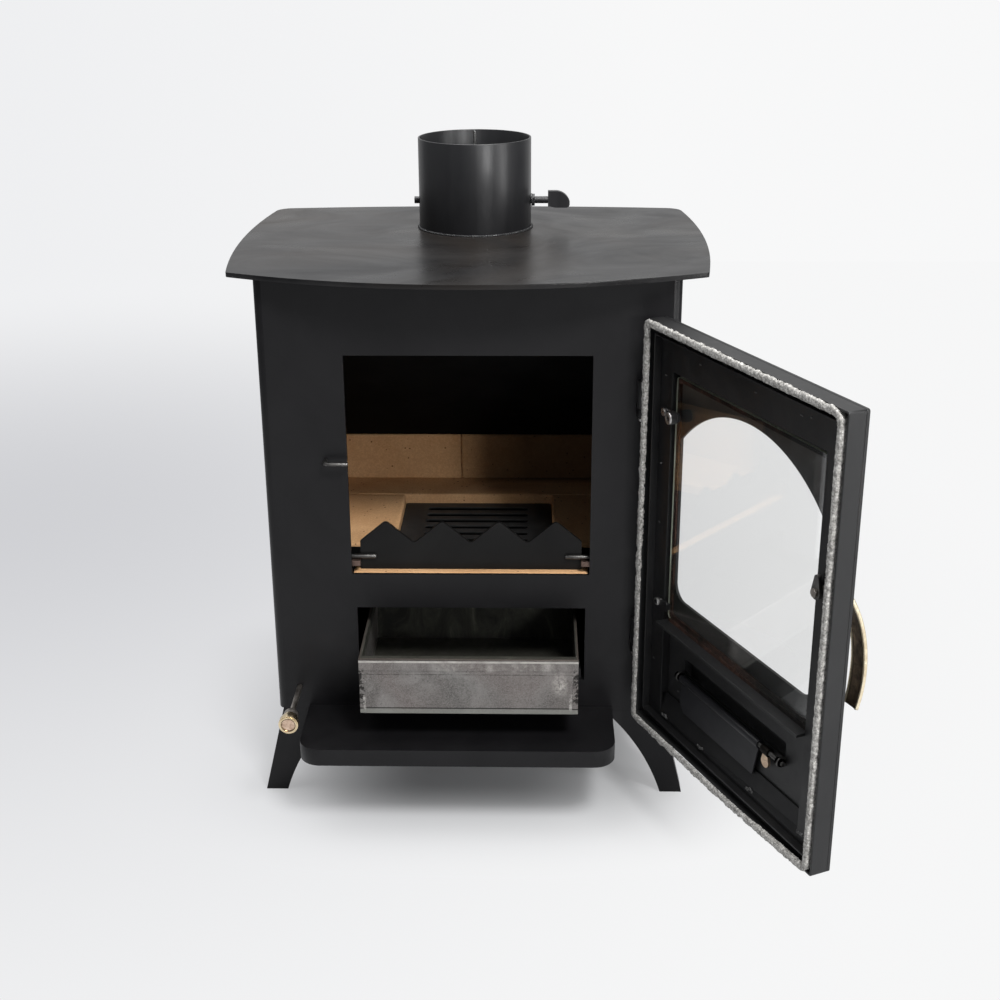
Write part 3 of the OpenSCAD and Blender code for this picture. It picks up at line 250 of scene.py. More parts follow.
def back_paint():
    """The back panel: body paint outside, dead black soot on the side of the fire."""
    g = Graph("back_paint")
    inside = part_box("back_panel")[0].y + 0.3 * MM
    soot = g.level(g.axis("Y"), inside, inside + 0.2 * MM, 1, 0)
    paint = g.clouds((0.0038, 0.0037, 0.0041), (0.0075, 0.0073, 0.0078))
    g.bump(g.noise(1500, 2), 0.25, 0.10)
    return g.finish(
        colour=g.mix(soot, paint, (0.001,) * 3),
        rough=g.level(soot, 0, 1, 0.42, 1.0),
        gloss=g.level(soot, 0, 1, 0.25, 0.0),
    )


def window_seal():
    """The tape under the glass: reddish brown where the fire has baked it, dark elsewhere."""
    g = Graph("glass_seal")
    tufts = g.noise(300, 5, 0.7)
    baked = g.ramp(tufts, (0.3, (0.016, 0.009, 0.007)), (0.7, (0.115, 0.060, 0.045)))
    dark = g.ramp(tufts, (0.3, (0.006, 0.006, 0.006)), (0.7, (0.026, 0.023, 0.020)))
    share = g.times(
        g.level(g.along(DOOR_U), 0.15, 0.24, 1, 0), g.level(g.noise(40, 3), 0.35, 0.55, 0.2, 1.0)
    )
    g.bump(tufts, 0.7, 0.8)
    return g.finish(colour=g.mix(share, dark, baked), rough=0.95, gloss=0.1)


def panel_paint():
    """The door's face plate: behind the glass a brown film, partly soot and partly a painted
    reflection, that fades sideways, and a lighter strip that is a painted reflection.
    """
    g = Graph("panel_paint")
    u, depth, v = g.along(DOOR_U), g.along(DOOR_THROUGH), g.along(Z_WAY)
    outside = g.clouds((0.0075, 0.0075, 0.0078), (0.013, 0.013, 0.0133))
    inner = g.level(depth, (PANEL_W + 0.2) * MM, (PANEL_W + 0.4) * MM, 1, 0)
    film = g.level(g.noise(16, 5, 0.6, 1.0), 0.3, 0.7, 0.5, 1.0)
    # the brown film is partly soot and partly a painted reflection of light in the glass
    brown = g.times(g.level(v, 0.366, 0.394), g.level(u, 0.10, 0.26, 1.0, 0.35), film)
    soot = g.mix(brown, (0.009, 0.009, 0.0088), (0.060, 0.045, 0.036))
    # painted reflection: the lighter upright strip in the upper part near the free side stands for
    # the inner frame mirrored in the glass
    wiped = g.times(g.level(u, 0.272, 0.275), g.level(v, 0.335, 0.36))
    soot = g.mix(wiped, soot, (0.044, 0.040, 0.038))
    behind_glass = g.times(g.level(v, 0.125, 0.130), g.level(v, 0.402, 0.404, 1, 0))
    g.bump(g.noise(1500, 2), 0.25, 0.10)
    return g.finish(
        colour=g.mix(g.times(inner, behind_glass), outside, soot),
        rough=g.level(g.noise(22, 6, 0.65, 0.9), 0.3, 0.7, 0.40, 0.54),
        gloss=0.36,
    )


def weld_steel():
    """Weld beads and spatter under paint: darker than bare steel, with small bright tips."""
    g = Graph("weld_steel")
    ripple = g.noise(700, 4, 0.6)
    g.bump(ripple, 0.5, 0.3)
    colour = g.ramp(ripple, (0.4, (0.02, 0.02, 0.02)), (0.7, (0.09, 0.088, 0.085)))
    return g.finish(colour=colour, rough=g.level(ripple, 0.3, 0.7, 0.5, 0.28), gloss=0.7)


def collar_paint():
    """The rolled collar: smooth satin paint with fine upright drawing lines."""
    g = Graph("collar_paint")
    lines = g.noise(120, 4, 0.6, at=g.stretched(1, 1, 0.03))
    clouds = g.noise(12, 4, 0.6, 0.5, at=g.stretched(1, 1, 0.5))
    colour = g.ramp(clouds, (0.3, (0.006, 0.006, 0.0068)), (0.75, (0.013, 0.013, 0.014)))
    g.bump(lines, 0.12, 0.10)
    g.bump(g.noise(1500, 2), 0.15, 0.06)
    return g.finish(colour=colour, rough=g.level(lines, 0.3, 0.7, 0.30, 0.42), gloss=0.5)


def fire_black():
    """Matt black of the firebox's own steel."""
    g = Graph("fire_black")
    colour = g.ramp(g.noise(20, 6, 0.6), (0.3, 0.0015), (0.8, 0.005))
    g.bump(g.noise(600, 4, 0.6), 0.4, 0.3)
    return g.finish(colour=colour, rough=0.9, gloss=0.06)


def grate_iron():
    """Rough cast iron, worn on top; below the top it is near black, soot together with painted
    shade in the slots.
    """
    g = Graph("grate_iron")
    iron = g.ramp(g.noise(40, 5, 0.6), (0.3, 0.006), (0.8, 0.022))
    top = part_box("grate")[1].z
    # below the worn top the iron is near black: soot and painted shade in the slots between the
    # bars
    worn = g.level(g.axis("Z"), top - 2.2 * MM, top - 0.7 * MM, 0, 1)
    g.bump(g.noise(420, 5, 0.65), 0.5, 0.5)
    g.bump(g.noise(60, 3), 0.2, 0.8)
    return g.finish(
        colour=g.mix(worn, (0.0015,) * 3, iron),
        rough=g.level(worn, 0, 1, 0.95, 0.55),
        gloss=g.level(worn, 0, 1, 0.0, 0.5),
    )


def firebrick():
    """Pressed vermiculite board: tan, finely grained, with small dark pits and pale flakes, and
    painted shade over the right part of the back board.
    """
    g = Graph("firebrick")
    grain = g.noise(420, 6, 0.7)
    tan = g.ramp(
        g.noise(14, 5, 0.6, 0.5), (0.3, (0.50, 0.285, 0.135)), (0.75, (0.66, 0.41, 0.215))
    )
    colour = g.mix(g.level(grain, 0.42, 0.62, 0.30, 0.0), tan, (0.26, 0.135, 0.06))
    pits = g.ramp(g.cells(130), (0.10, 1.0), (0.17, 0.0))
    rare = g.ramp(g.noise(60, 2), (0.50, 0.0), (0.56, 0.95))
    colour = g.mix(g.times(pits, rare), colour, (0.10, 0.045, 0.02))
    flakes = g.ramp(g.cells(310), (0.06, 0.5), (0.14, 0.0))
    colour = g.mix(flakes, colour, (0.85, 0.62, 0.36))
    # painted shade: the back board darkens towards its right, where the opening's edge and the
    # door shade it
    painted_shade_back_right = g.times(
        g.level(g.axis("Y"), 0.050, 0.068, 0, 0.7), g.level(g.axis("X"), -0.03, 0.06)
    )
    colour = g.mix(painted_shade_back_right, colour, (0.030, 0.018, 0.010))
    g.bump(grain, 0.45, 0.35)
    g.bump(pits, -0.5, 0.6)
    return g.finish(colour=colour, rough=0.93, gloss=0.2)


# marks on the pan, among them a painted highlight and a painted shadow: heights above the floor,
# then places across it and along it, in metres
PAN_TOP, PAN_TOP_LINE, PAN_FOLD_HIGHLIGHT = (0.2098, 0.2104), (0.2100, 0.2106), (0.2074, 0.2088)
PAN_SCOURED, PAN_HEM_SHADOW, PAN_BURNT = (0.198, 0.205), (0.1922, 0.1927), (0.160, 0.196)
PAN_FOOT_LINE, PAN_FOOT = (0.1516, 0.1524), (0.1505, 0.1512)
PAN_HEAT = (0.0975, -0.318, 0.181 + FLOOR_Z * MM)
PAN_CORNER, PAN_WALL = (0.1112, 0.1122), (0.1151, 0.1157)
PAN_SKIN, PAN_LINING = (-0.3172, -0.3166), (-0.3168, -0.3160)


def pan_steel():
    """Bare mill steel: mottled outside, with weld and heat marks on its front, a painted highlight
    along the fold and a painted shadow under the hem; sooty inside.
    """
    g = Graph("pan_steel")
    across, along, up = (g.axis(letter) for letter in "XYZ")
    aside = g.sum("ABSOLUTE", across)
    height = g.sum("ADD", up, -FLOOR_Z * MM)
    speckle = g.noise(620, 6, 0.75)
    base = g.ramp(
        g.noise(24, 6, 0.66, 0.7),
        (0.30, (0.055, 0.050, 0.047)), (0.50, (0.125, 0.118, 0.112)), (0.72, (0.25, 0.24, 0.23)),
    )
    pinkish = g.level(g.noise(11, 3, 0.5, 0.4), 0.42, 0.66, 0.0, 0.55)
    pits = g.level(g.noise(480, 5, 0.8), 0.58, 0.70, 0.0, 0.85)
    # painted highlight: a bright broken line along the rounded fold under the rim
    fold_highlight = g.times(
        g.band(height, *PAN_FOLD_HIGHLIGHT, 0.0007), g.level(g.noise(90, 5, 0.7), 0.3, 0.6, 0.25, 0.9)
    )
    scoured = g.times(
        g.band(height, *PAN_SCOURED, 0.004), g.band(across, -0.020, 0.086, 0.02),
        g.ramp(g.noise(70, 6, 0.7), (0.44, 0.0), (0.64, 0.75)),
    )
    # painted shadow: a dark line under the lower edge of the hem
    hem_shadow = g.times(
        g.band(height, *PAN_HEM_SHADOW, 0.0003), g.level(g.noise(80, 4, 0.7), 0.4, 0.6, 0.2, 0.9)
    )
    heat = g.times(
        g.spot(PAN_HEAT, (0.010, 0.03, 0.017)),
        g.level(g.noise(170, 6, 0.75, 0.8), 0.42, 0.62, 0, 0.9),
    )
    left = g.times(g.band(across, -0.1132, -0.1112, 0.0006), g.band(height, 0.152, 0.164, 0.005))
    right = g.times(g.band(across, 0.1080, 0.1104, 0.0008), g.band(height, 0.153, 0.166, 0.005))
    ragged = g.level(g.noise(260, 5, 0.7), 0.42, 0.60, 0, 0.8)
    burnt = g.times(
        g.level(aside, *PAN_CORNER), g.band(height, *PAN_BURNT, 0.004),
        g.level(along, *PAN_SKIN, 1, 0),
        g.ramp(g.noise(210, 4, 0.6), (0.47, 0.0), (0.52, 0.9)),
    )
    inside = g.times(g.level(aside, *PAN_WALL, 1, 0), g.level(along, *PAN_LINING))
    soot = g.ramp(
        g.noise(30, 6, 0.75, 1.0, at=g.stretched(1, 1, 0.35)),
        (0.38, (0.010, 0.010, 0.008)), (0.58, (0.038, 0.038, 0.030)), (0.75, (0.11, 0.11, 0.085)),
    )
    ash = g.level(g.facing(Z_WAY), 0.7, 0.9, 0, 0.5)
    for share, colour in (
        (pinkish, (0.150, 0.118, 0.110)),
        (g.level(speckle, 0.38, 0.66, 0.0, 0.55), (0.30, 0.29, 0.275)),
        (pits, (0.03, 0.027, 0.025)),
        (g.level(height, *PAN_TOP, 0, 0.75), (0.085, 0.068, 0.055)),
        (fold_highlight, (0.52, 0.50, 0.46)),
        (g.band(height, *PAN_TOP_LINE, 0.0003), (0.03, 0.026, 0.022)),
        (scoured, (0.42, 0.40, 0.37)),
        (hem_shadow, (0.03, 0.028, 0.026)),
        (g.band(height, *PAN_FOOT_LINE, 0.0004), (0.02, 0.02, 0.018)),
        (g.level(height, *PAN_FOOT, 0.55, 0), (0.25, 0.26, 0.23)),
        (heat, (0.62, 0.59, 0.54)),
        (g.times(g.sum("ADD", left, right), ragged), (0.50, 0.48, 0.45)),  # weld at the corners
        (burnt, (0.012, 0.011, 0.010)),
        (inside, g.mix(ash, soot, (0.052, 0.050, 0.042))),
    ):
        base = g.mix(share, base, colour)
    rough = g.level(g.noise(60, 6, 0.7, 0.6), 0.3, 0.7, 0.36, 0.66)
    g.bump(speckle, 0.3, 0.12)
    return g.finish(colour=base, rough=rough, metal=g.level(inside, 0, 1, 0.7, 0.3))


def dull_steel(name, dark, light, rough=0.42):
    """Handled steel without paint, worn in patches."""
    g = Graph(name)
    colour = g.ramp(g.noise(90, 5, 0.6, 0.6), (0.3, dark), (0.7, light))
    wear = g.level(g.noise(130, 5, 0.6), 0.3, 0.7, rough - 0.12, rough + 0.14)
    g.bump(g.noise(900, 3), 0.2, 0.1)
    return g.finish(colour=colour, rough=wear, metal=1.0)


def bronze(name, dark, light, rough):
    """Cast bronze with a worn patina."""
    g = Graph(name)
    patina = g.noise(120, 6, 0.65, 0.8)
    colour = g.ramp(patina, (0.32, dark), (0.68, light))
    g.bump(g.noise(500, 4, 0.6), 0.25, 0.2)
    wear = g.level(patina, 0.3, 0.7, rough + 0.12, rough - 0.06)
    return g.finish(colour=colour, rough=wear, metal=1.0)


def radius_map(g, a, a_centre, b, b_centre):
    """Distance from a centre in the plane of two coordinates."""
    parts = [g.sum("SUBTRACT", a, a_centre), g.sum("SUBTRACT", b, b_centre)]
    squares = g.sum("ADD", *(g.times(part, part) for part in parts))
    return g.sum("POWER", squares, 0.5)


def tab_metal():
    """The flap's brass drop; the barrel that grips the rod is dulled by soot."""
    g = Graph("tab_metal")
    away = radius_map(g, g.along(DOOR_THROUGH), FLAP_W * MM, g.along(Z_WAY), FLAP_V * MM)
    clean = g.level(away, 0.0050, 0.0056)
    patina = g.noise(120, 6, 0.65, 0.8)
    brass = g.ramp(patina, (0.32, (0.50, 0.36, 0.25)), (0.68, (0.85, 0.66, 0.48)))
    colour = g.mix(clean, (0.02, 0.018, 0.016), brass)
    return g.finish(colour=colour, rough=g.level(clean, 0, 1, 0.6, 0.3), metal=1.0)


def knob_metal():
    """The turned knob: a bright rim, a dark groove and a pinkish disc in its face."""
    g = Graph("knob_metal")
    low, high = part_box("rod_knob")
    centre, radius = (low + high) / 2, (high.x - low.x) / 2
    r = radius_map(g, g.axis("X"), centre.x, g.axis("Z"), centre.z)
    patina = g.noise(160, 6, 0.65, 0.8)
    gold = g.ramp(patina, (0.32, (0.55, 0.42, 0.26)), (0.68, (0.88, 0.74, 0.50)))
    pink = g.ramp(patina, (0.32, (0.42, 0.29, 0.21)), (0.68, (0.80, 0.60, 0.46)))
    front = g.level(g.axis("Y"), low.y + 1.2 * MM, low.y + 1.8 * MM, 1, 0)
    disc = g.times(g.level(r, radius * 0.66, radius * 0.68, 1, 0), front)
    groove = g.times(g.band(r, radius * 0.69, radius * 0.74, 0.0002), front)
    colour = g.mix(groove, g.mix(disc, gold, pink), (0.06, 0.04, 0.025))
    g.bump(g.noise(500, 4, 0.6), 0.2, 0.15)
    g.bump(groove, -0.6, 0.5)
    return g.finish(colour=colour, rough=g.level(patina, 0.3, 0.7, 0.34, 0.18), metal=1.0)


def rope_fibre():
    """Glass-fibre rope: matt, loosely knitted, with painted shade in the hollows between the
    strands.
    """
    g = Graph("seal_rope")
    dark, light = (0.070, 0.066, 0.060), (0.60, 0.585, 0.555)
    knit, tufts = g.cells(480), g.noise(300, 5, 0.7)
    colour = g.ramp(tufts, (0.28, dark), (0.62, light))
    # painted shade: the hollows between the knitted strands are darkened
    colour = g.mix(g.ramp(knit, (0.25, 0.0), (0.75, 0.55)), colour, dark)
    g.bump(tufts, 0.7, 0.8)
    g.bump(knit, 0.4, 0.6)
    return g.finish(colour=colour, rough=0.95, gloss=0.2, sheen=0.15)


def window_pane():
    """Clear ceramic glass with wiped smudges and a ground, olive-tinted edge."""
    g = Graph("window_pane")
    edge = g.level(g.facing(DOOR_THROUGH), 0.5, 0.7, 1, 0)
    smudge = g.level(g.noise(14, 6, 0.65, 1.8), 0.45, 0.75, 0.0, 0.08)
    return g.finish(
        colour=g.mix(edge, (0.93, 0.935, 0.93), (0.42, 0.46, 0.36)),
        rough=g.mix(edge, smudge, (0.45, 0.45, 0.45)),
        clear=g.level(edge, 0, 1, 1.0, 0.3),
        bend=1.47,
    )


BODY_PAINT = stove_paint(
    "body_paint", (0.0036, 0.0034, 0.0039), (0.0072, 0.0069, 0.0076), (0.32, 0.47), 0.25
)
FENCE_PAINT = stove_paint(
    "fence_paint", (0.0034, 0.0033, 0.0034), (0.0075, 0.0073, 0.0070), (0.42, 0.56), 0.17
)
DOOR_PAINT = stove_paint(
    "door_paint", (0.0075, 0.0075, 0.0078), (0.013, 0.013, 0.0133), (0.40, 0.54), 0.36
)
INSIDE_PAINT = stove_paint(
    "inside_paint", (0.0035, 0.0035, 0.0038), (0.0075, 0.0073, 0.0078), (0.36, 0.55), 0.35,
    rubbed=(0.012, 0.0115, 0.011),
)
FLAP_PAINT = stove_paint(
    "flap_paint", (0.010, 0.010, 0.012), (0.016, 0.016, 0.018), (0.36, 0.5), 0.36
)
COLLAR_PAINT = collar_paint()
FIREBRICK = firebrick()
GRATE_IRON = grate_iron()
WELD_STEEL = weld_steel()
ROD_STEEL = dull_steel("rod_steel", (0.16, 0.145, 0.13), (0.36, 0.33, 0.30))
CLIP_STEEL = dull_steel("clip_steel", (0.07, 0.068, 0.065), (0.16, 0.155, 0.15), 0.45)
SCREW_STEEL = dull_steel("screw_steel", (0.35, 0.34, 0.33), (0.62, 0.61, 0.60), 0.3)
LUG_STEEL = dull_steel("lug_steel", (0.10, 0.068, 0.058), (0.22, 0.155, 0.13), 0.5)
BRONZE_DARK = bronze("bronze_dark", (0.035, 0.027, 0.020), (0.17, 0.125, 0.085), 0.40)
# the pale bronze is hand wear and a painted highlight on the strap's outer face and edges
BRONZE_WORN_HIGHLIT = bronze("bronze_worn_highlit", (0.62, 0.51, 0.34), (0.93, 0.83, 0.62), 0.30)
SEAL_ROPE = rope_fibre()

FINISH = {
    BODY_PAINT: "body_wrap bottom_plate ash_lip leg_front_left leg_front_right leg_rear_left"
    " leg_rear_right hinge_lugs",
    back_paint(): "back_panel",
    top_paint(): "top_plate",
    COLLAR_PAINT: "flue_collar damper_knob damper_spindle damper_nut",
    DOOR_PAINT: "door_rim air_cowl hinge_knuckles glass_ledge",
    panel_paint(): "door_panel",
    FLAP_PAINT: "air_flap",
    INSIDE_PAINT: "rope_channel inner_frame glass_standoff glass_clips ash_floor",
    FENCE_PAINT: "fire_fence",
    fire_black(): "firebox_floor baffle baffle_supports damper_plate air_slide_plate",
    GRATE_IRON: "grate",
    FIREBRICK: "side_brick_left side_brick_right back_brick_left back_brick_right"
    " base_brick_left base_brick_right base_brick_rear front_brick",
    pan_steel(): "ash_pan",
    ROD_STEEL: "air_rod rod_collar latch_spindle",
    CLIP_STEEL: "flap_brackets flap_rod latch_cam fence_ears latch_keeper",
    LUG_STEEL: "fence_lugs",
    SCREW_STEEL: "leg_screws lip_screws clip_screws hinge_pins",
    knob_metal(): "rod_knob",
    tab_metal(): "flap_tab",
    BRONZE_DARK: "door_handle",
    SEAL_ROPE: "door_rope",
    window_seal(): "glass_gasket",
    window_pane(): "window_glass",
}
for paint, names in FINISH.items():
    for node_name in names.split():
        slots = NODES[node_name].data.materials
        slots.clear()
        slots.append(paint)

# ---- Softened edges of the CAD pieces, by the bevel's width in millimetres ----
SOFT_EDGES = {
    0.9: "top_plate door_panel ash_lip",
    0.6: "body_wrap leg_front_left leg_front_right leg_rear_left leg_rear_right flue_collar grate"
    " glass_ledge latch_cam damper_knob door_rim",
    0.4: "fire_fence inner_frame rope_channel air_cowl hinge_lugs hinge_knuckles glass_standoff"
    " rod_knob rod_collar glass_clips flap_brackets air_flap flap_tab leg_screws lip_screws"
    " clip_screws",
    0.3: "ash_pan window_glass fence_ears fence_lugs latch_keeper latch_spindle damper_nut",
}


def soften(node, width_mm):
    """Rounds the sharp edges of a CAD piece, so that they catch the light as real ones do."""
    piece = NODES[node]
    weld = piece.modifiers.new("weld", "WELD")
    weld.merge_threshold = 0.00001
    if node == "body_wrap":  # its large flat faces become one face each, for even shading
        flat = piece.modifiers.new("flat faces", "DECIMATE")
        flat.decimate_type = "DISSOLVE"
        flat.angle_limit = math.radians(0.4)
    bevel = piece.modifiers.new("soft edge", "BEVEL")
    bevel.width = width_mm * MM
    bevel.segments = 2
    bevel.limit_method = "ANGLE"
    bevel.angle_limit = math.radians(40)
    bevel.miter_outer = "MITER_ARC"
    bevel.use_clamp_overlap = True


for width, names in SOFT_EDGES.items():
    for node_name in names.split():
        soften(node_name, width)

# ---- Making of pieces ----


def mesh_of(name, points, faces, kinds=()):
    """A mesh, with the material's number of each face where kinds are given."""
    mesh = bpy.data.meshes.new(name)
    mesh.from_pydata(points, [], faces)
    for polygon, kind in zip(mesh.polygons, kinds):
        polygon.material_index = kind
    mesh.update()
    return mesh


def ring_faces(low, high, sides, turn_over=False):
    """Quads between two rings of points, each ring given by the number of its first point."""
    faces = []
    for k in range(sides):
        after = (k + 1) % sides
        quad = (low + k, low + after, high + after, high + k)
        faces.append((quad[0], *quad[:0:-1]) if turn_over else quad)
    return faces


def add_piece(name, mesh, body, *materials, smooth=True):
    piece = bpy.data.objects.new(name, mesh)
    bpy.context.scene.collection.objects.link(piece)
    for material in materials:
        mesh.materials.append(material)
    if smooth:
        mesh.shade_smooth()
    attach(piece, body)
    return piece


# ---- Bricks ----
BRICK_EDGE, BRICK_STEP = 0.6, 3.2  # radius of the edges, and the grid that the grain moves


def brick_grid(size):
    """A closed box of small squares from the origin to its size."""
    counts = [max(4, round(side / (BRICK_STEP * MM))) for side in size]
    mesh = bmesh.new()
    for fixed in range(3):
        u, v = (fixed + 1) % 3, (fixed + 2) % 3
        for side in (0, 1):
            grid = {}
            for i in range(counts[u] + 1):
                for j in range(counts[v] + 1):
                    p = Vector((0, 0, 0))
                    p[fixed] = size[fixed] * side
                    p[u] = size[u] * i / counts[u]
                    p[v] = size[v] * j / counts[v]
                    grid[i, j] = mesh.verts.new(p)
            for i in range(counts[u]):
                for j in range(counts[v]):
                    quad = [grid[i, j], grid[i + 1, j], grid[i + 1, j + 1], grid[i, j + 1]]
                    mesh.faces.new(quad if side else quad[::-1])
    bmesh.ops.remove_doubles(mesh, verts=mesh.verts, dist=1e-6)
    return mesh


def brick_piece(node, seed):
    """A fired board with rounded, chipped edges and a pitted face, in its CAD block's place."""
    low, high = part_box(node)
    size = high - low
    shift = Vector((seed * 1.7, seed * 0.9, seed * 2.3))
    mesh = brick_grid(size)
    for vert in mesh.verts:
        p = vert.co.copy()
        chip = 1 + 1.6 * max(0.0, noise.noise((p + shift) * 55)) ** 2 * 4
        r = BRICK_EDGE * MM * chip
        core = Vector([min(max(p[i], r), size[i] - r) for i in range(3)])
        away = p - core
        if away.length > 1e-9:
            p = core + away.normalized() * min(r, away.length)
        grain = noise.fractal((p + shift) * 420, 0.7, 2.1, 3)
        pit = max(0.0, noise.noise((p + shift * 2) * 300) - 0.35)
        inward = core - p
        if inward.length > 1e-9:
            p += inward.normalized() * (0.10 * (1 + grain) + 1.3 * pit) * MM
        vert.co = p + low
    out = bpy.data.meshes.new(node + "_board")
    mesh.to_mesh(out)
    mesh.free()
    piece = add_piece(node + "_board", out, "stove", FIREBRICK)
    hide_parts(node)


for number, brick_node in enumerate(FINISH[FIREBRICK].split()):
    brick_piece(brick_node, number + 1)

# ---- Door seal ----
ROPE_HALF = 3.8  # half its width across the channel
ROPE_FACE = 3.0  # how far it stands out of the rim
ROPE_STEP, ROPE_SIDES, ROPE_HAIRS = 1.6, 22, 6500
ROPE_EASE = 40.0  # how far from a slight bend the line starts to turn
ROPE_TURNS = [  # door coordinates of the bends of its centre line, and the radius of each corner
    (-2.6, -4.2, 5.0),
    (174.0, -3.8, 0.0),
    (257.0, -0.6, 0.0),
    (327.3, 3.4, 6.0),
    (327.3, 444.6, 12.0),
    (0.3, 444.8, 6.0),
]


def rope_path():
    """Points of the rope's centre line: it has crept over the rim, most along its lower edge."""
    line = []
    for i, (u, v, radius) in enumerate(ROPE_TURNS):
        here = Vector((u, v))
        before = Vector(ROPE_TURNS[i - 1][:2])
        after = Vector(ROPE_TURNS[(i + 1) % len(ROPE_TURNS)][:2])
        reach = radius or ROPE_EASE
        start = here + (before - here).normalized() * reach
        end = here + (after - here).normalized() * reach
        steps = 6 if radius else 4
        for k in range(steps + 1):
            t = k / steps
            line.append(start * (1 - t) ** 2 + here * (2 * t * (1 - t)) + end * t ** 2)
    path = []
    for i, p in enumerate(line):
        q = line[(i + 1) % len(line)]
        count = max(1, round((q - p).length / ROPE_STEP))
        path += [p.lerp(q, k / count) for k in range(count)]
    return path


def rope_ways(path, i):
    """The directions along the rope and outwards from the door at a point of its path."""
    along = (path[(i + 1) % len(path)] - path[i - 1]).normalized()
    return along, Vector((along.y, -along.x))


def rope_point(p, out, across, depth):
    """A point of the rope; where it lies over the rim it stays in front of the rim's edge."""
    q = p + out * across
    inside = min(q.x, DOOR_W - q.x, q.y, DOOR_H - q.y)
    if inside < RIM_T + 0.2:
        depth = min(depth, ROPE_FACE - 0.1)
    return Vector((q.x, max(depth, 0.04), q.y))


def rope_skin(path, points, faces):
    """The rope's squarish body, lumpy and twisted, with a ragged outer side."""
    for i, p in enumerate(path):
        _, out = rope_ways(path, i)
        deep = ROPE_D - 0.1 if max(out.x, out.y) > 0.5 else ROPE_D * 0.55
        half = ROPE_HALF * (0.86 if out.x > 0.5 else 1.0)
        ragged = noise.fractal(Vector((p.x * 0.11, p.y * 0.11, 4.0)), 0.5, 2.2, 4)
        fat = 1 + 0.08 * noise.noise(Vector((p.x * 0.02, p.y * 0.02, 9.0)))
        for j in range(ROPE_SIDES):
            angle = 2 * math.pi * j / ROPE_SIDES
            c, s = math.cos(angle), math.sin(angle)
            squared = 1 / max(abs(c), abs(s)) ** 0.5
            lump = noise.fractal(Vector((p.x * 0.22, p.y * 0.22, j * 0.6)), 0.6, 2.0, 3)
            strand = 0.03 * math.sin(i * 0.9 + angle * 3)
            r = squared * fat + 0.13 * lump + strand + (0.32 if c > 0.3 else 0.12) * ragged
            if s > 0:
                depth = ROPE_FACE * (1 - s * r * 0.92)
            else:
                depth = ROPE_FACE - s * r * (deep - ROPE_FACE)
            points.append(DOOR @ rope_point(p, out, c * r * half, min(depth, deep)))
    for i in range(len(path)):
        here, there = i * ROPE_SIDES, (i + 1) % len(path) * ROPE_SIDES
        faces += ring_faces(here, there, ROPE_SIDES, turn_over=True)


def rope_hairs(path, points, faces):
    """Loose fibres that stand out of the rope's face and sides."""
    rng = random.Random(7)
    for _ in range(ROPE_HAIRS):
        i = rng.randrange(len(path))
        along, out = rope_ways(path, i)
        angle = rng.uniform(-0.1, math.pi + 0.1)
        c, s = math.cos(angle), math.sin(angle)
        length = rng.uniform(0.5, 1.7)
        root = rope_point(path[i], out, c * ROPE_HALF * 0.95, ROPE_FACE * (1 - s * 0.95))
        way = Vector((*(out * c + along * rng.uniform(-1.4, 1.4)), -s)).xzy.normalized()
        tip = root + way * length
        bend = (root + tip) / 2 + Vector([rng.uniform(-0.4, 0.4) for _ in range(3)])
        for q in (bend, tip):
            q.y = max(q.y, 0.02)
        side = way.orthogonal().normalized() * 0.08
        base = len(points)
        strip = (root - side, root + side, bend + side * 0.8, bend - side * 0.8, tip)
        points += [DOOR @ q for q in strip]
        faces += [(base, base + 1, base + 2, base + 3), (base + 3, base + 2, base + 4)]


def rope_piece():
    path, points, faces = rope_path(), [], []
    rope_skin(path, points, faces)
    rope_hairs(path, points, faces)
    piece = add_piece(
        "seal_rope_fibres", mesh_of("seal_rope_fibres", points, faces), "door", SEAL_ROPE
    )
    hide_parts("door_rope")


rope_piece()

# ---- Handle ----
BOW_TOP = Vector((DOOR_D + 5.8, LATCH_V + 4.4))
BOW_LOW = Vector((DOOR_D + 30.0, LATCH_V + 4.4 - HANDLE_H))
BOSS_RINGS = ((7.6, 0.3), (8.5, 0.9), (8.5, 7.8), (7.9, 8.6), (0.01, 8.8))  # radius, height


def bow_centre(p, q, r):
    """Centre of the bow through p and q, on the door's side of them."""
    middle, way = (p + q) / 2, q - p
    k = math.sqrt(r * r - way.length_squared / 4) / way.length
    return middle - k * Vector((-way.y, way.x))


def strap_section():
    """Places across the strap and through it, with a sunk inner face, and which are worn pale with
    a painted highlight.
    """
    hw, ht = HANDLE_W / 2, HANDLE_T / 2
    inner = [(-hw, -ht * 0.4), (-hw + 0.5, -ht * 0.85), (-hw + 1.3, -ht), (-hw + 2.2, -ht * 0.95),
             (-hw + 2.8, -ht * 0.55), (-hw * 0.4, -ht * 0.45)]
    outer = [(hw, ht * 0.2), (hw - 0.5, ht * 0.62), (hw - 1.6, ht * 0.86), (hw * 0.45, ht)]
    section = []
    for half in (inner, outer):
        section += half + [(-u, w) for u, w in reversed(half)]
    # all faces but the sunk ones take the pale bronze: wear and painted highlight
    sunk = {4, 5, 6, 7}
    return section, [0 if j in sunk else 1 for j in range(len(section))]


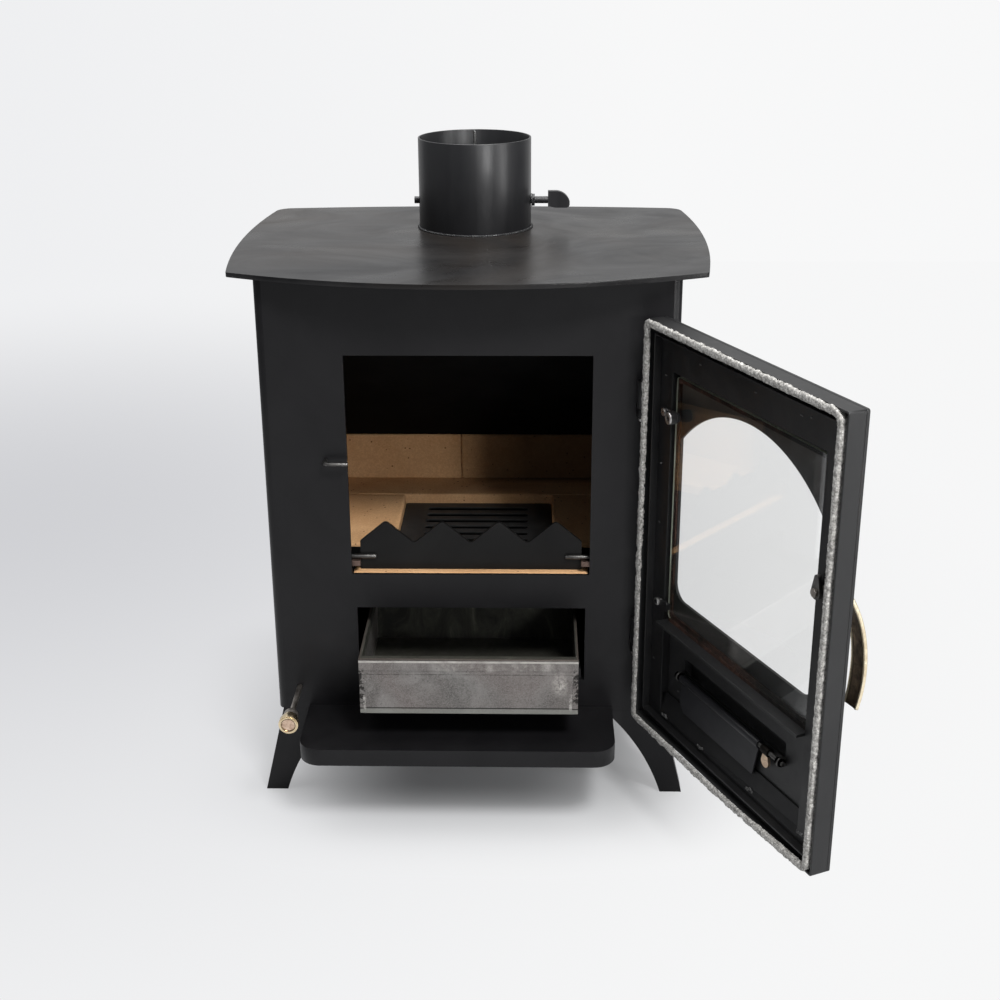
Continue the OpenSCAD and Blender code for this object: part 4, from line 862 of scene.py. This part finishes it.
def handle_piece():
    """Bowed strap with pale worn edges, brightened as a painted highlight, and darker bronze
    between them, and its boss.
    """
    centre = bow_centre(BOW_TOP, BOW_LOW, HANDLE_R)
    a0 = math.atan2(BOW_TOP.y - centre.y, BOW_TOP.x - centre.x)
    a1 = math.atan2(BOW_LOW.y - centre.y, BOW_LOW.x - centre.x)
    section, pale = strap_section()
    points, faces, kinds = [], [], []
    steps, m = 60, len(section)
    for i in range(steps + 1):
        t = i / steps
        angle = a0 + (a1 - a0) * t
        away = Vector((math.cos(angle), math.sin(angle)))
        # the strap narrows towards its upper end and a little at its tip
        width = 0.74 + 0.26 * min(1.0, t * 3.2) - 0.10 * max(0.0, t - 0.8) * 5
        for u, w in section:
            q = centre + away * (HANDLE_R + w)
            points.append(DOOR @ Vector((LATCH_U + u * width, q.x, q.y)))
    for i in range(steps):
        faces += ring_faces(i * m, (i + 1) * m, m)
        kinds += pale
    faces += [tuple(range(m - 1, -1, -1)), tuple(steps * m + j for j in range(m))]
    kinds += [1, 1]
    base, ring = len(points), 32
    for r, w in BOSS_RINGS:
        for k in range(ring):
            a = 2 * math.pi * k / ring
            place = (LATCH_U + r * math.cos(a), DOOR_D + w, LATCH_V + r * math.sin(a))
            points.append(DOOR @ Vector(place))
    for i in range(len(BOSS_RINGS) - 1):
        faces += ring_faces(base + i * ring, base + (i + 1) * ring, ring, turn_over=True)
        kinds += [0] * ring
    mesh = mesh_of("handle_strap", points, faces, kinds)
    piece = add_piece("handle_strap", mesh, "latch", BRONZE_DARK, BRONZE_WORN_HIGHLIT)
    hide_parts("door_handle")


handle_piece()

# ---- Weld marks ----


def lumps(name, places, body, material=WELD_STEEL):
    """Small irregular beads: a centre, half sizes along three directions, these, and a seed."""
    whole = bmesh.new()
    for centre, (a, b, c), (long_way, wide_way, out_way), seed in places:
        made = bmesh.ops.create_icosphere(whole, subdivisions=3, radius=1.0)
        turn = Vector((seed, seed * 0.7, 0))
        for vert in made["verts"]:
            p = vert.co.copy()
            swell = 1 + 0.38 * noise.fractal(p * 1.7 + turn, 0.6, 2.0, 3)
            away = long_way * (p.x * a) + wide_way * (p.y * b) + out_way * (p.z * c)
            vert.co = centre + away * swell * MM
    mesh = bpy.data.meshes.new(name)
    whole.to_mesh(mesh)
    whole.free()
    piece = add_piece(name, mesh, body, material)


def door_faces():
    """The door's inner side as one searchable skin."""
    points, faces = [], []
    for node in ("door_panel", "inner_frame", "rope_channel", "glass_ledge"):
        mesh = NODES[node].data
        base = len(points)
        points += [v.co.copy() for v in mesh.vertices]
        faces += [tuple(base + k for k in polygon.vertices) for polygon in mesh.polygons]
    return BVHTree.FromPolygons(points, faces)


def on_door_face(tree, u, v):
    """The point and the outward direction of the door's inner side at (u, v)."""
    place, normal, _, _ = tree.ray_cast(DOOR @ Vector((u, -40, v)), DOOR_THROUGH)
    return place, -normal if normal.dot(DOOR_THROUGH) > 0 else normal


# door coordinates of the plug welds along the sloped band, and of the spatter elsewhere
PLUG_WELDS = ((122, 19), (215, 21.5), (301, 24.0), (48, 18.5))
SPATTER = ((184, 37), (83, 55), (21, 76), (49, 110), (22, 235), (21, 300), (89.7, 423),
           (186.4, 422.5), (272.7, 424.5), (259, 422.0), (25, 395), (60, 52))


def door_welds():
    tree = door_faces()
    places = []
    rng = random.Random(3)
    for spots, size, count in ((PLUG_WELDS, 2.3, 5), (SPATTER, 1.1, 3)):
        for u, v in spots:
            for k in range(count):
                du = (k - (count - 1) / 2) * size * 0.95 + rng.uniform(-0.4, 0.4)
                dv = rng.uniform(-0.8, 0.8) * size * 0.5
                place, out = on_door_face(tree, u + du, v + dv)
                ways = DOOR_U, out.cross(DOOR_U).normalized(), out
                reach = size * rng.uniform(0.55, 1.0)
                half_sizes = reach, reach * 0.8, reach * 0.55
                places.append((place, half_sizes, ways, rng.uniform(0, 90)))
    lumps("door_weld_spots", places, "door")


BEAD_STEP, SEAM_STEP, SEAM_X = 3.0, 2.4, -2.4


def collar_welds():
    """A bead round the collar's foot, and the seam down the inside of its back."""
    rng = random.Random(5)
    places = []
    count = round(2 * math.pi * COLLAR_R / BEAD_STEP)
    for k in range(count):
        a = 2 * math.pi * k / count
        out = Vector((math.cos(a), math.sin(a), 0))
        ways = Vector((-math.sin(a), math.cos(a), 0)), out, Z_WAY
        r = COLLAR_R + 0.7
        centre = above_floor(out.x * r, out.y * r, COLLAR_FOOT + 0.6)
        size = rng.uniform(1.2, 1.6)
        places.append((centre, (2.3, size, size), ways, rng.uniform(0, 90)))
    lumps("collar_foot_bead", places, "stove", COLLAR_PAINT)
    seam = []
    height = COLLAR_FOOT + 2
    while height < -FLOOR_Z - 1.5:
        centre = above_floor(SEAM_X + rng.uniform(-0.2, 0.2), COLLAR_R - COLLAR_T, height)
        seam.append((centre, (1.9, 1.0, 2.2), WAYS, rng.uniform(0, 90)))
        height += SEAM_STEP
    lumps("collar_seam", seam, "stove")


def pan_welds():
    """Short beads that close the corners of the folded pan, curling onto its front."""
    rng = random.Random(11)
    places = []
    for side, low, high in ((-1, 178.0, 191.0), (1, 158.0, 176.0), (1, 184.0, 193.0)):
        height = low
        while height < high:
            x = side * (PAN_SIDE + rng.uniform(-1.2, 1.0))
            size = rng.uniform(0.7, 1.3)
            centre = above_floor(x, PAN_FRONT, height)
            places.append((centre, (size, 0.5, size * 1.2), WAYS, rng.uniform(0, 90)))
            height += rng.uniform(1.4, 2.4)
    lumps("pan_corner_beads", places, "pan", SCREW_STEEL)


door_welds()
collar_welds()
pan_welds()

# ---- Small fittings of the door ----
# rings of turned fittings: radius, depth in the door, flat sides (0 is round), material's number
STUD_RINGS = [
    (4.4, 14.6, 0, 0), (5.0, 14.2, 0, 0), (5.0, 12.0, 0, 0), (2.6, 11.9, 0, 0), (2.6, 10.5, 0, 0),
    (5.9, 10.4, 0, 0), (6.4, 9.8, 0, 0), (6.4, 3.2, 0, 0), (6.1, 2.6, 0, 1), (5.2, 2.1, 0, 1),
    (3.4, 2.1, 6, 1), (3.2, 5.6, 6, 1),
]
SCREW_TOP = CLIP_FACE - 2.2
SCREW_RINGS = [
    (4.3, CLIP_FACE - 0.1, 0, 0), (4.3, SCREW_TOP + 0.4, 0, 0), (3.7, SCREW_TOP - 0.3, 0, 0),
    (2.4, SCREW_TOP - 0.3, 6, 0), (2.2, SCREW_TOP - 0.05, 6, 1),
]


def turned(name, u, v, rings, slot, *materials):
    """A turned fitting whose axis runs through the door."""
    sides = 24
    points, faces, kinds = [], [], []
    for radius, depth, corners, _ in rings:
        for k in range(sides):
            a = 2 * math.pi * k / sides
            r = radius
            if corners:
                part = 2 * math.pi / corners
                r = radius * math.cos(part / 2) / math.cos((a % part) - part / 2)
            points.append(DOOR @ Vector((u + r * math.cos(a), depth, v + r * math.sin(a))))
    for i in range(len(rings) - 1):
        faces += ring_faces(i * sides, (i + 1) * sides, sides)
        kinds += [rings[i + 1][3]] * sides
    last = (len(rings) - 1) * sides
    faces += [tuple(range(sides - 1, -1, -1)), tuple(last + k for k in range(sides))]
    kinds += [rings[0][3], rings[-1][3]]
    mesh = mesh_of(name, points, faces, kinds)
    piece = add_piece(name, mesh, "door", *materials, smooth=False)
    return piece


def window_fittings():
    """The stud that holds the glass and the screw in the lower clip, with bright sockets."""
    stud = turned(
        "glass_stud", STUD_U, STUD_V, STUD_RINGS, "body_paint", INSIDE_PAINT, SCREW_STEEL
    )
    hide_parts("glass_standoff")
    turned(
        "clip_screw_socket", CLIP_U, CLIP_V, SCREW_RINGS, "screw_steel", SCREW_STEEL, INSIDE_PAINT
    )


def curled_lugs():
    """Strips from the face plate that curl round the flap's rod, one at each end of the slot."""
    points, faces = [], []
    turns, width = 18, 7.0
    m = turns + 1
    angles = [math.radians(60 - 330 * k / turns) for k in range(m)]
    section = [
        (FLAP_W + math.cos(a) * r, FLAP_V + math.sin(a) * r)
        for r in (FLAP_ROD_R + 0.3, FLAP_ROD_R + 2.4) for a in angles
    ]
    for u0 in (69.0, 258.0):
        base = len(points)
        for u in (u0 - width / 2, u0 + width / 2):
            points += [DOOR @ Vector((u, w, v)) for w, v in section]
        for k in range(turns):
            a, b = base + k, base + k + 1
            c, d = a + m, b + m
            e = 2 * m
            faces += [(a, b, b + e, a + e), (c, c + e, d + e, d), (a, c, d, b),
                      (a + e, b + e, d + e, c + e)]
        for k in (base, base + turns):
            faces.append((k, k + 2 * m, k + 3 * m, k + m))
    mesh = mesh_of("rod_curls", points, faces)
    piece = add_piece("rod_curls", mesh, "door", GRATE_IRON, smooth=False)


window_fittings()
curled_lugs()

# ---- Camera, light and floor ----
CAMERA_PLACE, LENS, FILM = (0.0686, -1.7400, 0.2369), 54.07, 36.0
YAW, PITCH, ROLL = (math.radians(angle) for angle in (-1.372, 21.354, -0.287))


def photo_camera():
    """The camera that took the photograph."""
    data = bpy.data.cameras.new("camera")
    data.sensor_width = FILM
    data.lens = LENS
    camera = bpy.data.objects.new("camera", data)
    bpy.context.scene.collection.objects.link(camera)
    ahead = Vector(
        (math.sin(YAW) * math.cos(PITCH), math.cos(YAW) * math.cos(PITCH), -math.sin(PITCH))
    )
    level = Vector((math.cos(YAW), -math.sin(YAW), 0))
    upright = level.cross(ahead)
    right = level * math.cos(ROLL) + upright * math.sin(ROLL)
    up = -level * math.sin(ROLL) + upright * math.cos(ROLL)
    turn = Matrix((right, up, -ahead)).transposed()
    camera.matrix_world = Matrix.Translation(CAMERA_PLACE) @ turn.to_4x4()
    bpy.context.scene.camera = camera


def soft_light(name, place, aim, size, watts):
    data = bpy.data.lights.new(name, "AREA")
    data.shape = "RECTANGLE"
    data.size, data.size_y = size
    data.energy = watts
    lamp = bpy.data.objects.new(name, data)
    lamp.location = place
    lamp.rotation_euler = (Vector(aim) - Vector(place)).to_track_quat("-Z", "Y").to_euler()
    bpy.context.scene.collection.objects.link(lamp)


def pale_world():
    """A pale surround that lights the stove less than it shows itself."""
    world = bpy.data.worlds.new("studio")
    bpy.context.scene.world = world
    world.use_nodes = True
    nodes, links = world.node_tree.nodes, world.node_tree.links
    back = nodes["Background"]
    back.inputs["Color"].default_value = (0.80, 0.82, 0.86, 1)
    back.inputs["Strength"].default_value = 0.32
    shown = nodes.new("ShaderNodeBackground")
    shown.inputs["Color"].default_value = (0.92, 0.925, 0.93, 1)
    path = nodes.new("ShaderNodeLightPath")
    seen = nodes.new("ShaderNodeMath")
    seen.operation = "MAXIMUM"
    links.new(path.outputs["Is Camera Ray"], seen.inputs[0])
    links.new(path.outputs["Is Transmission Ray"], seen.inputs[1])
    mix = nodes.new("ShaderNodeMixShader")
    links.new(seen.outputs[0], mix.inputs[0])
    links.new(back.outputs[0], mix.inputs[1])
    links.new(shown.outputs[0], mix.inputs[2])
    links.new(mix.outputs[0], nodes["World Output"].inputs["Surface"])


# painted shade: the pale floor and backdrop darken towards the left
LEFT_PAINTED_SHADE, TONE_TURN = (0.86, 0.865, 0.88), (-1.4, 0.4)
SHADOW_SIDE, SHADOW_BACK, SHADOW_FRONT, SHADOW_SOFT = 0.05, 0.10, 0.22, 0.19
# painted shade: a wide dim patch in the floor's glow behind the stove's left side
PAINTED_SHADE_PLACE, PAINTED_SHADE_REACH = (-0.85, 0.60), 1.7


def side_to_side(g, right_tone):
    """The pale surround is a little darker on its left: painted shade."""
    return g.mix(g.level(g.axis("X"), *TONE_TURN), LEFT_PAINTED_SHADE, right_tone)


def pale_backdrop():
    """A white wall behind the stove, which the top plate mirrors at its flat angle."""
    half, y, low, high = 3.2, 2.6, FLOOR_Z * MM, 3.4
    corners = [(-half, y, low), (half, y, low), (half, y, high), (-half, y, high)]
    mesh = mesh_of("backdrop", corners, [(0, 1, 2, 3)])
    wall = bpy.data.objects.new("backdrop", mesh)
    bpy.context.scene.collection.objects.link(wall)
    g = Graph("backdrop")
    tone = side_to_side(g, (0.935, 0.937, 0.94))
    strength = g.level(g.ray("Is Glossy Ray"), 0, 1, 1.0, 0.74)  # mirrored, it is a little dimmer
    glow = g.add("Emission", {"Color": tone, "Strength": strength})
    mesh.materials.append(g.surface(glow.outputs[0]))


def pale_floor():
    """A pale floor that keeps a soft shadow near the stove and stays even further off."""
    half = 30.0
    z = FLOOR_Z * MM - 0.0002
    corners = [(-half, -half, z), (half, -half, z), (half, half, z), (-half, half, z)]
    mesh = mesh_of("floor", corners, [(0, 1, 2, 3)])
    floor = bpy.data.objects.new("floor", mesh)
    bpy.context.scene.collection.objects.link(floor)
    g = Graph("floor")
    camera_ray = g.ray("Is Camera Ray")
    g.finish(
        colour=g.mix(camera_ray, (0.45, 0.453, 0.46), (0.43, 0.433, 0.44)), rough=0.9, gloss=0.1
    )
    # how far a place lies outside the stove's shadow
    aside = g.sum("MAXIMUM", g.sum("SUBTRACT", g.sum("ABSOLUTE", g.axis("X")), SHADOW_SIDE))
    aside = g.times(aside, 0.5)
    behind = g.sum("MAXIMUM", g.sum("SUBTRACT", g.axis("Y"), SHADOW_BACK))
    before = g.sum("MINIMUM", g.sum("ADD", g.axis("Y"), SHADOW_FRONT))
    fore = g.sum("ADD", behind, before)
    away = g.sum("SQRT", g.sum("ADD", g.times(aside, aside), g.times(fore, fore)))
    # painted shade: the floor's glow is darkest behind the stove's left side, fading out over a
    # wide round patch
    reach = g.vector("DISTANCE", g.place, (*PAINTED_SHADE_PLACE, z))
    painted_shade = g.level(reach, 0, PAINTED_SHADE_REACH, way="SMOOTHSTEP")
    tone = g.mix(painted_shade, (0.63, 0.635, 0.66), side_to_side(g, (0.925, 0.927, 0.93)))
    seen = g.sum("MAXIMUM", camera_ray, g.ray("Is Transmission Ray"))
    share = g.times(seen, g.level(away, 0, SHADOW_SOFT, way="SMOOTHSTEP"))
    glow = g.add("Emission", {"Color": tone})
    ground = g.add("MixShader", {0: share, 1: g.shader.outputs[0], 2: glow.outputs[0]})
    # seen from below it is clear, so that the underside shows
    below, clear = g.add("NewGeometry").outputs["Backfacing"], g.add("BsdfTransparent")
    whole = g.add("MixShader", {0: below, 1: ground.outputs[0], 2: clear.outputs[0]})
    mesh.materials.append(g.surface(whole.outputs[0]))


photo_camera()
pale_world()
pale_floor()
pale_backdrop()
soft_light("overhead", (-0.3, 0.4, 2.2), (0, 0.0, -0.5), (2.6, 2.2), 92)
soft_light("key", (0.80, -1.80, 1.75), (0, -0.1, -0.45), (0.7, 0.6), 84)
soft_light("low_key", (1.17, -2.42, 0.30), (0, 0.0, -0.35), (0.36, 0.30), 17)
soft_light("side_strip", (1.95, -1.15, 0.05), (0, 0, -0.2), (0.35, 1.5), 14)

bpy.context.scene.view_settings.view_transform = "Standard"
